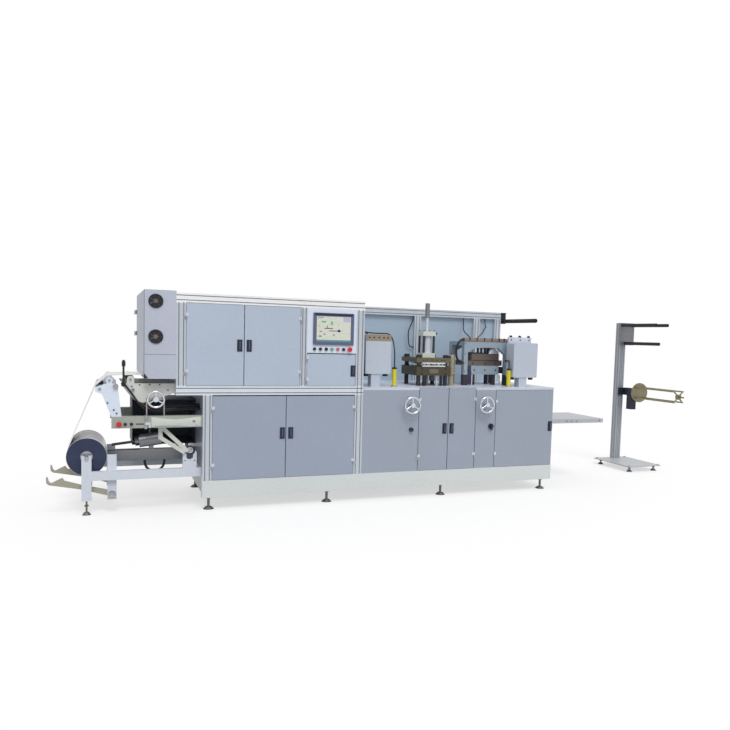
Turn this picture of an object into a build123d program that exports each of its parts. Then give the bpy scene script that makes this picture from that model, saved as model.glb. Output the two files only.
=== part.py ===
from build123d import *
import os
from math import atan2, cos, degrees, radians, sin

os.makedirs("parts", exist_ok=True)

# Lid forming machine: a steel base on levelling feet, profile frames with
# swinging doors, a film unwinder on the left, forming and cutting stations
# on the right deck, an outfeed table and a free-standing scrap rewinder.
# Machine frame: X along the machine, Y away from the operator, Z up.

# Heights from the floor
foot_height = 111
plinth_height = 154
frame_height = 1900
mid_beam_top = 1102
deck_top = 1090

# Base and frame
base_length = 3624
base_depth = 1120
profile = 80
door_post_width = 60
frame_left = -226
door_post_x = 862
tall_post_x = 1396
back_frame_end = 3550
back_post_one_x = 2440
back_post_two_x = 3190
slot_width = 8
slot_depth = 9
sheet = 4

# Levelling feet
foot_inset_x = 64
foot_inset_y = 70
foot_gap_one = 1094
foot_gap_two = 1197
foot_gap_three = 1188
foot_disc_d = 96
foot_disc_t = 20
foot_rod_d = 24
foot_nut_d = 44
foot_nut_t = 18

# Doors
leaf = 20
door_gap = 6
door_seal = 1
hinge_axis_out = 7
knuckle_d = 12
knuckle_length = 28
knuckle_gap = 0.4
hinge_pin_d = 5
hinge_flap_w = 22
hinge_flap_t = 3
hinge_share = 0.16
handle_width = 46
handle_height = 105
handle_plate = 4
paddle_out = 16
lower_door_split = 738
upper_door_split = 351
small_door_top = 1400
hmi_bottom = 1409
right_door_x = 2062
right_door_split = 2385
right_door_end = 2692
end_door_x = 2924
edge_strip_height = 24
edge_strip_end = 3260

# Heater box
heater_left = -487
heater_bottom = 1163
heater_top = 1915
heater_depth = 1300
heater_seam_z = 1370
fan_guard_d = 120
fan_guard_out = 10
fan_guard_x = -393
fan_guard_z_high = 1820
fan_guard_z_low = 1521

# Operator panel
screen_width = 390
screen_height = 294
screen_x = 975
screen_z = 1485
screen_out = 14
screen_margin = 30
button_row_z = 1446
button_pitch = 56
button_first_x = 990
button_d = 30
button_out = 14
stop_d = 44
stop_out = 30

# Handwheels and small controls
wheel_d = 172
wheel_rim_d = 18
wheel_hub_d = 44
wheel_spoke_d = 13
wheel_out = 74
wheel_shaft_d = 22
wheel_running = 0.05
wheel_boss_d = 60
wheel_boss_out = 26
wheel_one_x = 1963
wheel_one_z = 922
wheel_two_x = 2783
wheel_two_z = 920
infeed_wheel_d = 150
infeed_wheel_x = -389
infeed_wheel_z = 988
infeed_wheel_y = 30
knob_x = 1980
knob_z = 679
knob_d = 40
knob_out = 26
switch_x = 2870
switch_z = 694
switch_knob_d = 54
switch_knob_out = 34

# Unwinder floor frame and film roll
unwind_front_y = 100
unwind_tube = 78
unwind_tube_t = 40
unwind_leg_x = -973
unwind_leg_top = 503
unwind_leg_bottom = 118
unwind_beam_z = 290
unwind_beam_end = 0
roll_x = -934
roll_z = 486
roll_d = 320
roll_core_d = 96
roll_length = 560
roll_shaft_d = 30
notch_width = 30.6
arm_clear = 7
arm_side = 2
arm_up = 30
bearing_width = 118
brace_width = 34
bearing_x = -155
bearing_top = 524
bearing_bore = 60
arm_pivot_x = -734
arm_pivot_z = 160
arm_t = 12
pivot_plate_t = 10
arm_pivot_d = 62
arm_shaft_d = 34
arm_plate_width = 74

# Infeed beams, guide towers and side plates
infeed_beam_left = -740
infeed_beam_z = 742
infeed_beam_height = 100
infeed_beam_y = 20
infeed_beam_t = 60
infeed_rear_y = 800
tower_t = 12
guide_x = -832
guide_z = 1075
guide_d = 66
guide_two_x = -757
guide_two_z = 1148
guide_two_d = 58
side_plate_t = 12
entry_roller_x = -588
entry_roller_z = 1150
entry_roller_d = 66

# Lift drive under the feed housing
channel_y = 420
channel_z = 405
channel_height = 100
channel_left = -766
channel_right = -262
channel_t = 60
drive_d = 118
drive_length = 190

# Feed housing behind the infeed beam
housing_left = -560
housing_bottom = 530
housing_top = 940
housing_front_y = 500
housing_back_y = 1040

# Stations on the deck
cover_y = 100
cover_depth = 150
cover_a_x = 1529
cover_a_width = 262
cover_a_z = 1215
cover_a_height = 382
cover_d_x = 3176
cover_d_width = 290
cover_d_z = 1188
cover_d_height = 365
pillar_width = 94
pillar_depth = 90
pillar_a_x = 1593
pillar_d_x = 3255
tube_d = 44
tube_height = 190
tube_y = 150
tube_a_x = 1850
tube_c_x = 3152

# Press station
press_x = 2312
press_y = 420
press_plate_w = 390
press_plate_d = 400
press_base_z = 1196
press_base_t = 90
press_head_z = 1330
press_head_t = 46
press_post_d = 44
press_post_inset = 44
press_leg_d = 30
platen_t = 14
platen_z = 1309
platen_stroke = 16
cap_w = 224
cap_t = 54
cylinder_d = 96
cylinder_h = 176
lower_cap_t = 40
tie_rod_d = 16
rod_d = 30
rod_running = 0.05
adjuster_d = 48
adjuster_z = 1787
adjuster_top = 1935

# Forming station
gantry_x = 2710
gantry_width = 544
gantry_y = 330
gantry_t = 60
gantry_z = 1203
gantry_top = 1551
gantry_leg = 44
forming_depth = 360
die_x = 2833
die_width = 331
die_z = 1356
die_t = 76
bolster_z = 1303
bolster_t = 52
lower_block_z = 1203
lower_block_t = 94
forming_leg_d = 46

# Outfeed table
table_length = 816
table_front_y = 200
table_back_y = 870
table_top_z = 724
table_t = 45
table_bracket = 60

# Web roller at the back beam
web_roller_x = 3590
web_roller_z = 1800
web_roller_d = 46
web_roller_length = 700
clamp_t = 36

# Scrap rewinder
stand_x = 5165
stand_width = 495
stand_front_y = 580
stand_back_y = 1258
stand_plate_z = 63
stand_plate_t = 12
stand_foot_inset = 60
stand_post_x = 5416
stand_post_d = 90
stand_top = 1845
head_w = 96
head_z = 1560
idler_d = 40
idler_shaft_d = 16
idler_length = 640
spool_x = 5540
spool_z = 960
spool_disc_d = 246
spool_disc_t = 16
spool_rod_d = 18
spool_length = 690
spool_front_y = 200
gearbox_w = 92
motor_w = 84
motor_h = 180


def block(x0, x1, y0, y1, z0, z1):
    corner = (Align.MIN, Align.MIN, Align.MIN)
    return Pos(x0, y0, z0) * Box(x1 - x0, y1 - y0, z1 - z0, align=corner)


def rod_x(d, x0, x1, y, z):
    turn = Rot(0, 90, 0)
    base = (Align.CENTER, Align.CENTER, Align.MIN)
    return Pos(x0, y, z) * turn * Cylinder(d / 2, x1 - x0, align=base)


def rod_y(d, x, y0, y1, z):
    turn = Rot(-90, 0, 0)
    base = (Align.CENTER, Align.CENTER, Align.MIN)
    return Pos(x, y0, z) * turn * Cylinder(d / 2, y1 - y0, align=base)


def rod_z(d, x, y, z0, z1):
    base = (Align.CENTER, Align.CENTER, Align.MIN)
    return Pos(x, y, z0) * Cylinder(d / 2, z1 - z0, align=base)


def plate_xz(points, y0, thickness):
    face = make_face(Polyline(*points, close=True))
    solid = extrude(Plane.XZ * face, amount=-thickness)
    return Pos(0, y0, 0) * solid


def plinth():
    z0 = foot_height
    z1 = foot_height + plinth_height
    body = block(0, base_length, 0, profile, z0, z1)
    body += block(0, base_length, base_depth - profile, base_depth, z0, z1)
    for x in foot_centres():
        x0 = min(max(x - profile / 2, 0), base_length - profile)
        body += block(x0, x0 + profile, profile, base_depth - profile, z0, z1)
    return body


def foot_centres():
    second = foot_inset_x + foot_gap_one
    third = second + foot_gap_two
    return [foot_inset_x, second, third, third + foot_gap_three]


def foot(x, y, top):
    disc = Pos(x, y, 0) * Cone(foot_disc_d / 2, foot_disc_d * 0.3, foot_disc_t,
                               align=(Align.CENTER, Align.CENTER, Align.MIN))
    rod = rod_z(foot_rod_d, x, y, foot_disc_t, top)
    nut = extrude(RegularPolygon(foot_nut_d / 2, 6), foot_nut_t)
    return disc + rod + Pos(x, y, top - foot_nut_t) * nut


def feet():
    rows = [foot_inset_y, base_depth - foot_inset_y]
    return [foot(x, y, foot_height) for x in foot_centres() for y in rows]


plinth_top = foot_height + plinth_height
frame_back = base_depth
back_y = base_depth - profile
mid_beam_z = mid_beam_top - profile
top_beam_z = frame_height - profile
cabinet_right = tall_post_x + profile


def front_frame():
    body = block(0, profile, 0, profile, plinth_top, mid_beam_z)
    body += block(frame_left, tall_post_x, 0, profile, mid_beam_z, mid_beam_top)
    body += block(frame_left, frame_left + profile, 0, profile, mid_beam_top, top_beam_z)
    body += block(door_post_x, door_post_x + door_post_width, 0, profile, mid_beam_top, top_beam_z)
    body += block(tall_post_x, cabinet_right, 0, profile, plinth_top, top_beam_z)
    body += block(frame_left, cabinet_right, 0, profile, top_beam_z, frame_height)
    return body


def back_frame():
    y0 = back_y
    y1 = base_depth
    body = block(0, profile, y0, y1, plinth_top, mid_beam_z)
    body += block(frame_left, tall_post_x, y0, y1, mid_beam_z, mid_beam_top)
    body += block(frame_left, frame_left + profile, y0, y1, mid_beam_top, top_beam_z)
    body += block(tall_post_x, cabinet_right, y0, y1, plinth_top, top_beam_z)
    body += block(frame_left, back_frame_end, y0, y1, top_beam_z, frame_height)
    for x in (back_post_one_x, back_post_two_x, back_frame_end - profile):
        body += block(x, x + profile, y0, y1, deck_top, top_beam_z)
    return body


def cross_beams():
    bars = []
    for x in (frame_left, tall_post_x):
        bars.append(block(x, x + profile, profile, back_y, top_beam_z, frame_height))
        bars.append(block(x, x + profile, profile, back_y, mid_beam_z, mid_beam_top))
    return bars


def lower_panels():
    left = block(0, sheet, profile, back_y, plinth_top, mid_beam_z)
    mid_y = base_depth - profile / 2
    back = block(profile, tall_post_x, mid_y, mid_y + sheet, plinth_top, mid_beam_z)
    floor = block(profile, tall_post_x, leaf + door_gap, back_y, plinth_top, plinth_top + sheet)
    return [left, back, floor]


def upper_panels():
    x0 = frame_left + profile
    mid_y = base_depth - profile / 2
    left = block(frame_left, frame_left + sheet, profile, back_y, mid_beam_top, top_beam_z)
    back = block(x0, tall_post_x, mid_y, mid_y + sheet, mid_beam_top, top_beam_z)
    z_mid = mid_beam_top - profile / 2
    floor = block(x0, tall_post_x, profile, back_y, z_mid, z_mid + sheet)
    z_top = frame_height - profile / 2
    roof = block(x0, tall_post_x, profile, back_y, z_top, z_top + sheet)
    x1 = cabinet_right - sheet
    right = block(x1, cabinet_right, profile, back_y, web_gap_top, top_beam_z)
    return [left, back, floor, roof, right]


web_gap_top = 1330


def right_cabinet():
    z1 = deck_top - edge_strip_height
    y0 = leaf + door_seal
    body = block(cabinet_right, base_length, y0, base_depth, plinth_top, z1)
    wall = 2 * door_gap + sheet
    for x0, x1 in ((right_door_x, right_door_end), (end_door_x, base_length)):
        body -= block(x0 + wall, x1 - wall, y0 - 1, base_depth - sheet, plinth_top + sheet, z1 - wall)
    return body


def deck_plate():
    z0 = deck_top - edge_strip_height
    body = block(cabinet_right, base_length, 0, base_depth, z0, deck_top)
    body -= block(right_door_x, right_door_end, -1, leaf + door_seal, z0 - 1, deck_top + 1)
    return body


def front_panels():
    z0 = plinth_top
    z1 = deck_top - edge_strip_height
    y1 = leaf + door_seal
    one = block(cabinet_right, right_door_x - door_gap / 2, 0, y1, z0, z1)
    two = block(right_door_end + door_gap / 2, end_door_x - door_gap / 2, 0, y1, z0, z1)
    bore = wheel_shaft_d + 2 * wheel_running
    one -= rod_y(bore, wheel_one_x, -1, y1 + 1, wheel_one_z)
    two -= rod_y(bore, wheel_two_x, -1, y1 + 1, wheel_two_z)
    return [one, two]


def back_panels():
    y0 = base_depth - profile / 2
    edges = [cabinet_right, back_post_one_x, back_post_one_x + profile, back_post_two_x,
             back_post_two_x + profile, back_frame_end - profile]
    panels = []
    for i in (0, 2, 4):
        panels.append(block(edges[i], edges[i + 1], y0, y0 + sheet, deck_top, top_beam_z))
    return panels


def door_leaf(x0, x1, z0, z1):
    body = block(x0, x1, 0, leaf, z0, z1)
    edge = body.edges().filter_by(Axis.Z).group_by(Axis.Y)[0]
    body = fillet(edge, 2)
    return body


def hinge_heights(z0, z1):
    inset = hinge_share * (z1 - z0)
    return [z0 + inset, z1 - inset]


def knuckle(x, z0, side):
    body = rod_z(knuckle_d, x, -hinge_axis_out, z0, z0 + knuckle_length)
    x0, x1 = sorted((x, x + side * hinge_flap_w))
    return body + block(x0, x1, -hinge_flap_t, 0, z0, z0 + knuckle_length)


def moving_knuckles(seam, z0, z1, side):
    parts = []
    for z in hinge_heights(z0, z1):
        body = knuckle(seam, z + knuckle_gap, side)
        bore = hinge_pin_d + 2 * wheel_running
        parts.append(body - rod_z(bore, seam, -hinge_axis_out, z - 1, z + knuckle_length + 2))
    return parts


def fixed_knuckles(seam, z0, z1, side):
    parts = []
    for z in hinge_heights(z0, z1):
        body = knuckle(seam, z - knuckle_length, side)
        pin = rod_z(hinge_pin_d, seam, -hinge_axis_out, z - 2, z + knuckle_length)
        parts.append(body + pin)
    return parts


def door(spec):
    x0, x1, z0, z1, left, hx, hz = spec
    body = door_leaf(x0 + half, x1 - half, z0, z1) + handle(hx, hz)
    seam = x0 if left else x1
    for part in moving_knuckles(seam, z0, z1, 1 if left else -1):
        body += part
    return body


def door_hinges():
    parts = []
    for x0, x1, z0, z1, left, hx, hz in door_table.values():
        seam = x0 if left else x1
        parts += fixed_knuckles(seam, z0, z1, -1 if left else 1)
    return parts


def handle(x, z):
    base = block(x - handle_width / 2, x + handle_width / 2, -handle_plate, 0,
                 z - handle_height / 2, z + handle_height / 2)
    grip = block(x - handle_width * 0.3, x + handle_width * 0.3, -paddle_out, -handle_plate,
                 z - handle_height * 0.36, z + handle_height * 0.36)
    grip = fillet(grip.edges().group_by(Axis.Y)[0], 5)
    return base + grip


half = door_gap / 2
lower_door_z0 = plinth_top + half
lower_door_z1 = mid_beam_z - 10
upper_door_z0 = mid_beam_top + half
upper_door_z1 = top_beam_z - half
door_table = {
    "lower_door_left": (profile, lower_door_split, lower_door_z0, lower_door_z1, True, 705, 674),
    "lower_door_right": (lower_door_split, tall_post_x, lower_door_z0, lower_door_z1, False, 783, 674),
    "upper_door_left": (frame_left + profile, upper_door_split, upper_door_z0, upper_door_z1, True, 311, 1461),
    "upper_door_right": (upper_door_split, door_post_x, upper_door_z0, upper_door_z1, False, 394, 1461),
    "small_door": (door_post_x + door_post_width, tall_post_x, upper_door_z0, small_door_top, True, 1368, 1246),
    "right_door_left": (right_door_x, right_door_split, lower_door_z0, deck_top, True, 2346, 681),
    "right_door_right": (right_door_split, right_door_end, lower_door_z0, deck_top, False, 2424, 681),
    "end_door": (end_door_x, base_length, lower_door_z0, deck_top - edge_strip_height - half, True, 3590, 680),
}


def handwheel(x, y_panel, z, d, out, front):
    rim = Pos(x, y_panel - out, z) * Rot(90, 0, 0) * Torus((d - wheel_rim_d) / 2, wheel_rim_d / 2)
    hub = rod_y(wheel_hub_d, x, y_panel - out - 14, y_panel - out + 16, z)
    body = rim + hub
    reach = (d - wheel_rim_d) / 2
    for i in range(3):
        angle = 90 + i * 120
        spoke = Pos(x, y_panel - out, z) * Rot(0, -angle, 0) * rod_x(wheel_spoke_d, 0, reach, 0, 0)
        body += spoke
    body += rod_y(wheel_shaft_d, x, y_panel - out, front, z)
    return body


def wheel_boss(x, y, z, out):
    boss = rod_y(wheel_boss_d, x, y - out, y, z)
    return boss - rod_y(wheel_shaft_d + 2 * wheel_running, x, y - out - 1, y + 1, z)


# Unwinder: where the pieces lie across the film
plate_y = unwind_front_y + unwind_tube_t
arm_front_y = plate_y + pivot_plate_t + arm_side
roll_front_y = arm_front_y + arm_t + arm_clear
roll_back_y = roll_front_y + roll_length
arm_rear_y = roll_back_y + arm_clear
plate_rear_y = arm_rear_y + arm_t + arm_side
leg_rear_y = plate_rear_y + pivot_plate_t


def unwind_side(y0, plate_side_y):
    y1 = y0 + unwind_tube_t
    leg = block(unwind_leg_x, unwind_leg_x + unwind_tube, y0, y1, unwind_leg_bottom, unwind_leg_top)
    leg -= block(roll_x - notch_width / 2, roll_x + notch_width / 2, y0 - 1, y1 + 1,
                 roll_z, unwind_leg_top + 1)
    leg -= rod_y(notch_width, roll_x, y0 - 1, y1 + 1, roll_z)
    beam_top = unwind_beam_z + unwind_tube
    beam = block(unwind_leg_x + unwind_tube, unwind_beam_end, y0, y1, unwind_beam_z, beam_top)
    plate = block(bearing_x, bearing_x + bearing_width, y0, y1, beam_top, bearing_top)
    plate = fillet(plate.edges().filter_by(Axis.Y).group_by(Axis.Z)[-1], 26)
    plate -= rod_y(bearing_bore, bearing_x + bearing_width / 2, y0 - 1, y1 + 1, bearing_z)
    hang = block(arm_pivot_x - arm_plate_width / 2, arm_pivot_x + arm_plate_width / 2,
                 plate_side_y, plate_side_y + pivot_plate_t, arm_plate_bottom, channel_top)
    bore = arm_shaft_d + 2 * wheel_running
    hang -= rod_y(bore, arm_pivot_x, plate_side_y - 1, plate_side_y + pivot_plate_t + 1, arm_pivot_z)
    return leg + beam + plate + hang


bearing_z = 474
arm_plate_bottom = 118
channel_top = channel_z + channel_height


def unwind_frame():
    front = unwind_side(unwind_front_y, plate_y)
    rear = unwind_side(leg_rear_y, plate_rear_y)
    tie_z = unwind_beam_z + 10
    tie = block(unwind_beam_end - unwind_tube, unwind_beam_end, plate_y, leg_rear_y,
                tie_z, tie_z + unwind_tube - 20)
    body = front + rear + tie
    for collar in pivot_collars():
        body += collar
    return body


def unwind_feet():
    x = unwind_leg_x + unwind_tube / 2
    rows = [unwind_front_y + unwind_tube_t / 2, leg_rear_y + unwind_tube_t / 2]
    return [foot_small(x, y, unwind_leg_bottom) for y in rows]


def foot_small(x, y, top):
    base = (Align.CENTER, Align.CENTER, Align.MIN)
    disc = Pos(x, y, 0) * Cone(36, 20, 22, align=base)
    rod = rod_z(16, x, y, 22, top)
    nut = Pos(x, y, top * 0.6) * extrude(RegularPolygon(17, 6), 12)
    return disc + rod + nut


def lift_arm(y):
    tip_x = arm_pivot_x - 500
    points = [
        (arm_pivot_x, arm_pivot_z + 31),
        (arm_pivot_x - 250, 254),
        (arm_pivot_x - 371, 293),
        (arm_pivot_x - 386, 318),
        (arm_pivot_x - 400, 312),
        (arm_pivot_x - 472, 276),
        (tip_x + 12, 292),
        (tip_x + 2, 330),
        (tip_x - 10, 326),
        (tip_x - 8, 278),
        (tip_x + 10, 260),
        (arm_pivot_x - 458, 254),
        (arm_pivot_x - 248, 213),
        (arm_pivot_x, arm_pivot_z - 22),
    ]
    body = plate_xz(points, y, arm_t)
    return body + rod_y(arm_pivot_d, arm_pivot_x, y, y + arm_t, arm_pivot_z)


def lift_arms():
    body = lift_arm(arm_front_y) + lift_arm(arm_rear_y)
    return body + rod_y(arm_shaft_d, arm_pivot_x, plate_y - 8, leg_rear_y + 8, arm_pivot_z)


def pivot_collars():
    bore = arm_shaft_d + 2 * wheel_running
    front = rod_y(arm_pivot_d, arm_pivot_x, plate_y - 12, plate_y, arm_pivot_z)
    front -= rod_y(bore, arm_pivot_x, plate_y - 9, plate_y + 1, arm_pivot_z)
    rear = rod_y(arm_pivot_d, arm_pivot_x, leg_rear_y, leg_rear_y + 12, arm_pivot_z)
    rear -= rod_y(bore, arm_pivot_x, leg_rear_y - 1, leg_rear_y + 9, arm_pivot_z)
    return [front, rear]


def film_roll():
    roll = rod_y(roll_d, roll_x, roll_front_y, roll_back_y, roll_z)
    return roll - rod_y(roll_core_d, roll_x, roll_front_y - 1, roll_back_y + 1, roll_z)


def roll_shaft():
    shaft = rod_y(roll_shaft_d, roll_x, unwind_front_y - 14, leg_rear_y + unwind_tube_t + 14, roll_z)
    chuck_d = roll_core_d - 0.1
    for y in (roll_front_y, roll_back_y - 60):
        shaft += rod_y(chuck_d, roll_x, y, y + 60, roll_z)
    return shaft


def infeed_beams():
    y1 = infeed_beam_y + infeed_beam_t
    z1 = infeed_beam_z + infeed_beam_height
    front = block(infeed_beam_left, 0, infeed_beam_y, y1, infeed_beam_z, z1)
    slot = SlotOverall(44, 20, rotation=90)
    hole = extrude(Plane.XZ * slot, amount=20, both=True)
    front -= Pos(-73, infeed_beam_y, infeed_beam_z + infeed_beam_height / 2) * hole
    rear = block(infeed_beam_left, housing_left, infeed_rear_y, infeed_rear_y + infeed_beam_t, infeed_beam_z, z1)
    return [front, rear]


def tower(y):
    base_z = infeed_beam_z + infeed_beam_height
    points = [(-742, base_z), (-661, base_z), (-690, 1095), (-716, 1122), (-793, 1116),
              (-864, 1092), (-866, 1052), (-815, 1033)]
    plate = plate_xz(points, y, tower_t)
    neck = block(guide_two_x - 22, guide_two_x + 22, y, y + tower_t, 1110, guide_two_z)
    body = plate + neck + rod_y(44, guide_two_x, y, y + tower_t, guide_two_z)
    for x, z in ((guide_x, guide_z), (guide_two_x, guide_two_z)):
        body -= rod_y(idler_shaft_d + 2 * wheel_running, x, y - 1, y + tower_t + 1, z)
    return body


tower_front_y = infeed_beam_y
tower_rear_y = infeed_rear_y + infeed_beam_t - tower_t


def guide_roller(x, z, d):
    y0 = tower_front_y + tower_t + arm_side
    y1 = tower_rear_y - arm_side
    body = rod_y(d, x, y0, y1, z)
    return body + rod_y(idler_shaft_d, x, tower_front_y - 3, tower_rear_y + tower_t + 3, z)


def side_plate(y):
    top = heater_bottom - 46
    points = [(-669, top), (-606, 1029), (-550, 970), (-486, 950), (-423, 970),
              (frame_left, 1034), (frame_left, top)]
    plate = plate_xz(points, y, side_plate_t)
    lug = block(entry_roller_x - 30, entry_roller_x + 30, y, y + side_plate_t, top, entry_roller_z)
    plate += lug + rod_y(60, entry_roller_x, y, y + side_plate_t, entry_roller_z)
    bore = idler_shaft_d + 2 * wheel_running
    plate -= rod_y(bore, entry_roller_x, y - 1, y + side_plate_t + 1, entry_roller_z)
    return plate


side_plate_front_y = 100
side_plate_rear_y = 790


def entry_roller():
    y0 = side_plate_front_y + side_plate_t + arm_side
    y1 = side_plate_rear_y - arm_side
    body = rod_y(entry_roller_d, entry_roller_x, y0, y1, entry_roller_z)
    return body + rod_y(idler_shaft_d, entry_roller_x, side_plate_front_y - 3,
                        side_plate_rear_y + side_plate_t + 3, entry_roller_z)


def feed_housing():
    x1 = 0
    z1 = housing_top
    body = block(housing_left, x1, housing_front_y, housing_back_y, housing_bottom, z1)
    inner = block(housing_left + sheet, x1 - sheet, housing_front_y - 1, housing_back_y - sheet,
                  housing_bottom + sheet, z1 - sheet)
    return body - inner


def brace(x0, z0, x1, z1):
    y0 = infeed_beam_y + infeed_beam_t
    run = x1 - x0
    rise = z1 - z0
    length = (run ** 2 + rise ** 2) ** 0.5
    bar = block(0, length, y0, unwind_front_y, -brace_width / 2, brace_width / 2)
    return Pos(x0, 0, z0) * Rot(0, degrees(atan2(-rise, run)), 0) * bar


def diagonal_braces():
    y0 = infeed_beam_y + infeed_beam_t
    body = brace(-350, 650, bearing_x + 12, bearing_top - 14)
    body += brace(-330, infeed_beam_z - 8, bearing_x + 40, bearing_top - 4)
    return body + block(-362, -328, y0, unwind_front_y, 640, infeed_beam_z + 20)


def wheel_bracket():
    y = infeed_beam_y + infeed_beam_t / 2
    top = infeed_wheel_z + 12
    beam_top = infeed_beam_z + infeed_beam_height
    left = infeed_wheel_x - 71
    right = infeed_wheel_x + 71
    body = rod_z(12, left, y, beam_top, top) + rod_z(12, right, y, beam_top, top)
    body += block(left, right, y - 7, y + 7, infeed_wheel_z - 12, top)
    body += rod_y(44, infeed_wheel_x, y - 14, y + 7, infeed_wheel_z)
    bore = wheel_shaft_d + 2 * wheel_running
    return body - rod_y(bore, infeed_wheel_x, y - 15, y + 8, infeed_wheel_z)


def lift_drive():
    lean = Rot(0, -7, 0)
    start = Pos(-505, channel_y, channel_top + drive_d / 2 + 12)
    barrel = rod_x(drive_d, 0, drive_length, 0, 0)
    cap = rod_x(drive_d * 0.7, -34, 0, 0, 0)
    ram = rod_x(24, -230, -34, 0, 0)
    tail = block(drive_length, drive_length + 20, -30, 30, -30, 30)
    foot = block(-420, -380, channel_y - 20, channel_y + 20, channel_top, channel_top + 50)
    return start * lean * (barrel + cap + ram + tail) + foot + drive_channel()


def drive_channel():
    y0 = channel_y - channel_t / 2
    y1 = channel_y + channel_t / 2
    body = block(channel_left, unwind_beam_end, y0, y1, channel_z, channel_top)
    return body


def heater_box():
    body = block(heater_left, frame_left, 0, heater_depth, heater_bottom, heater_top)
    return fillet(body.edges().filter_by(Axis.Y).group_by(Axis.X)[0], 6)


def fan_guards():
    parts = []
    for z in (fan_guard_z_high, fan_guard_z_low):
        frame = block(fan_guard_x - fan_guard_d / 2, fan_guard_x + fan_guard_d / 2,
                      -fan_guard_out, 0, z - fan_guard_d / 2, z + fan_guard_d / 2)
        frame = fillet(frame.edges().filter_by(Axis.Y), 8)
        frame -= rod_y(fan_guard_d - 12, fan_guard_x, -fan_guard_out - 1, -2, z)
        parts.append(frame)
    return parts


def hmi_panel():
    x0 = door_post_x + door_post_width
    body = block(x0, tall_post_x, 0, leaf, hmi_bottom, top_beam_z)
    return body


def touch_screen():
    body = block(screen_x, screen_x + screen_width, -screen_out, 0, screen_z, screen_z + screen_height)
    body = fillet(body.edges().filter_by(Axis.Y), 8)
    m = screen_margin
    body -= block(screen_x + m, screen_x + screen_width - m, -screen_out - 1, -screen_out + 3,
                  screen_z + m, screen_z + screen_height - m)
    return body


def control_buttons():
    parts = [rod_y(button_d, button_first_x + i * button_pitch, -button_out, 0, button_row_z)
             for i in range(6)]
    for x in (-632, -583):
        parts.append(rod_y(26, x, infeed_beam_y - 12, infeed_beam_y, 777))
    return parts


def emergency_stops():
    def mushroom(x, y, z):
        stem = rod_y(button_d, x, y - stop_out + 10, y, z)
        return stem + rod_y(stop_d, x, y - stop_out, y - stop_out + 12, z)
    last = button_first_x + 6 * button_pitch
    return [mushroom(last, 0, button_row_z), mushroom(-682, infeed_beam_y, 777)]


def panel_knob():
    return rod_y(knob_d, knob_x, -knob_out, -0.3, knob_z)


def switch_knob():
    y0 = -switch_knob_out
    y1 = -0.3
    body = rod_y(switch_knob_d, switch_x, y0 + 14, y1, switch_z)
    return body + block(switch_x - 8, switch_x + 8, y0, y0 + 15, switch_z - 38, switch_z + 26)


def station_covers():
    parts = []
    for x, w, z, h in ((cover_a_x, cover_a_width, cover_a_z, cover_a_height),
                       (cover_d_x, cover_d_width, cover_d_z, cover_d_height)):
        body = block(x, x + w, cover_y, cover_y + cover_depth, z, z + h)
        parts.append(fillet(body.edges().filter_by(Axis.Y), 14))
    return parts


def station_pillars():
    parts = []
    y0 = cover_y + 10
    for x, z in ((pillar_a_x, cover_a_z), (pillar_d_x, cover_d_z)):
        parts.append(block(x, x + pillar_width, y0, y0 + pillar_depth, deck_top, z))
    return parts


def safety_tubes():
    return [rod_z(tube_d, x, tube_y, deck_top, deck_top + tube_height) for x in (tube_a_x, tube_c_x)]


def press_corners():
    dx = press_plate_w / 2 - press_post_inset
    dy = press_plate_d / 2 - press_post_inset
    return [(press_x + i * dx, press_y + j * dy) for i in (-1, 1) for j in (-1, 1)]


def press_plate(z0, z1):
    w = press_plate_w / 2
    d = press_plate_d / 2
    body = block(press_x - w, press_x + w, press_y - d, press_y + d, z0, z1)
    return fillet(body.edges().filter_by(Axis.Z), 10)


def press_frame():
    body = press_plate(press_base_z, press_base_z + press_base_t)
    body += press_plate(press_head_z, press_head_z + press_head_t)
    for x, y in press_corners():
        body += rod_z(press_post_d, x, y, deck_top, press_head_z + press_head_t + 24)
    bore = rod_d + 2 * rod_running
    body -= rod_z(bore, press_x, press_y, press_head_z - 1, press_head_z + press_head_t + 1)
    return body


def press_platen():
    w = press_plate_w / 2 - 2 * press_post_inset - 8
    d = press_plate_d / 2 - 20
    z0 = platen_z
    body = block(press_x - w, press_x + w, press_y - d, press_y + d, z0, z0 + platen_t)
    body += rod_z(rod_d, press_x, press_y, z0 + platen_t, adjuster_z)
    return body + rod_z(adjuster_d, press_x, press_y, adjuster_z, adjuster_top)


def press_cylinder():
    z0 = press_head_z + press_head_t
    c = cap_w / 2
    body = block(press_x - c, press_x + c, press_y - c, press_y + c, z0, z0 + lower_cap_t)
    z1 = z0 + lower_cap_t
    z2 = z1 + cylinder_h
    body += rod_z(cylinder_d, press_x, press_y, z1, z2)
    body += block(press_x - c, press_x + c, press_y - c, press_y + c, z2, z2 + cap_t)
    for i in (-1, 1):
        for j in (-1, 1):
            r = c - 20
            body += rod_z(tie_rod_d, press_x + i * r, press_y + j * r, z1, z2)
    return body - rod_z(rod_d + 2 * rod_running, press_x, press_y, z0 - 1, z2 + cap_t + 1)


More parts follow.
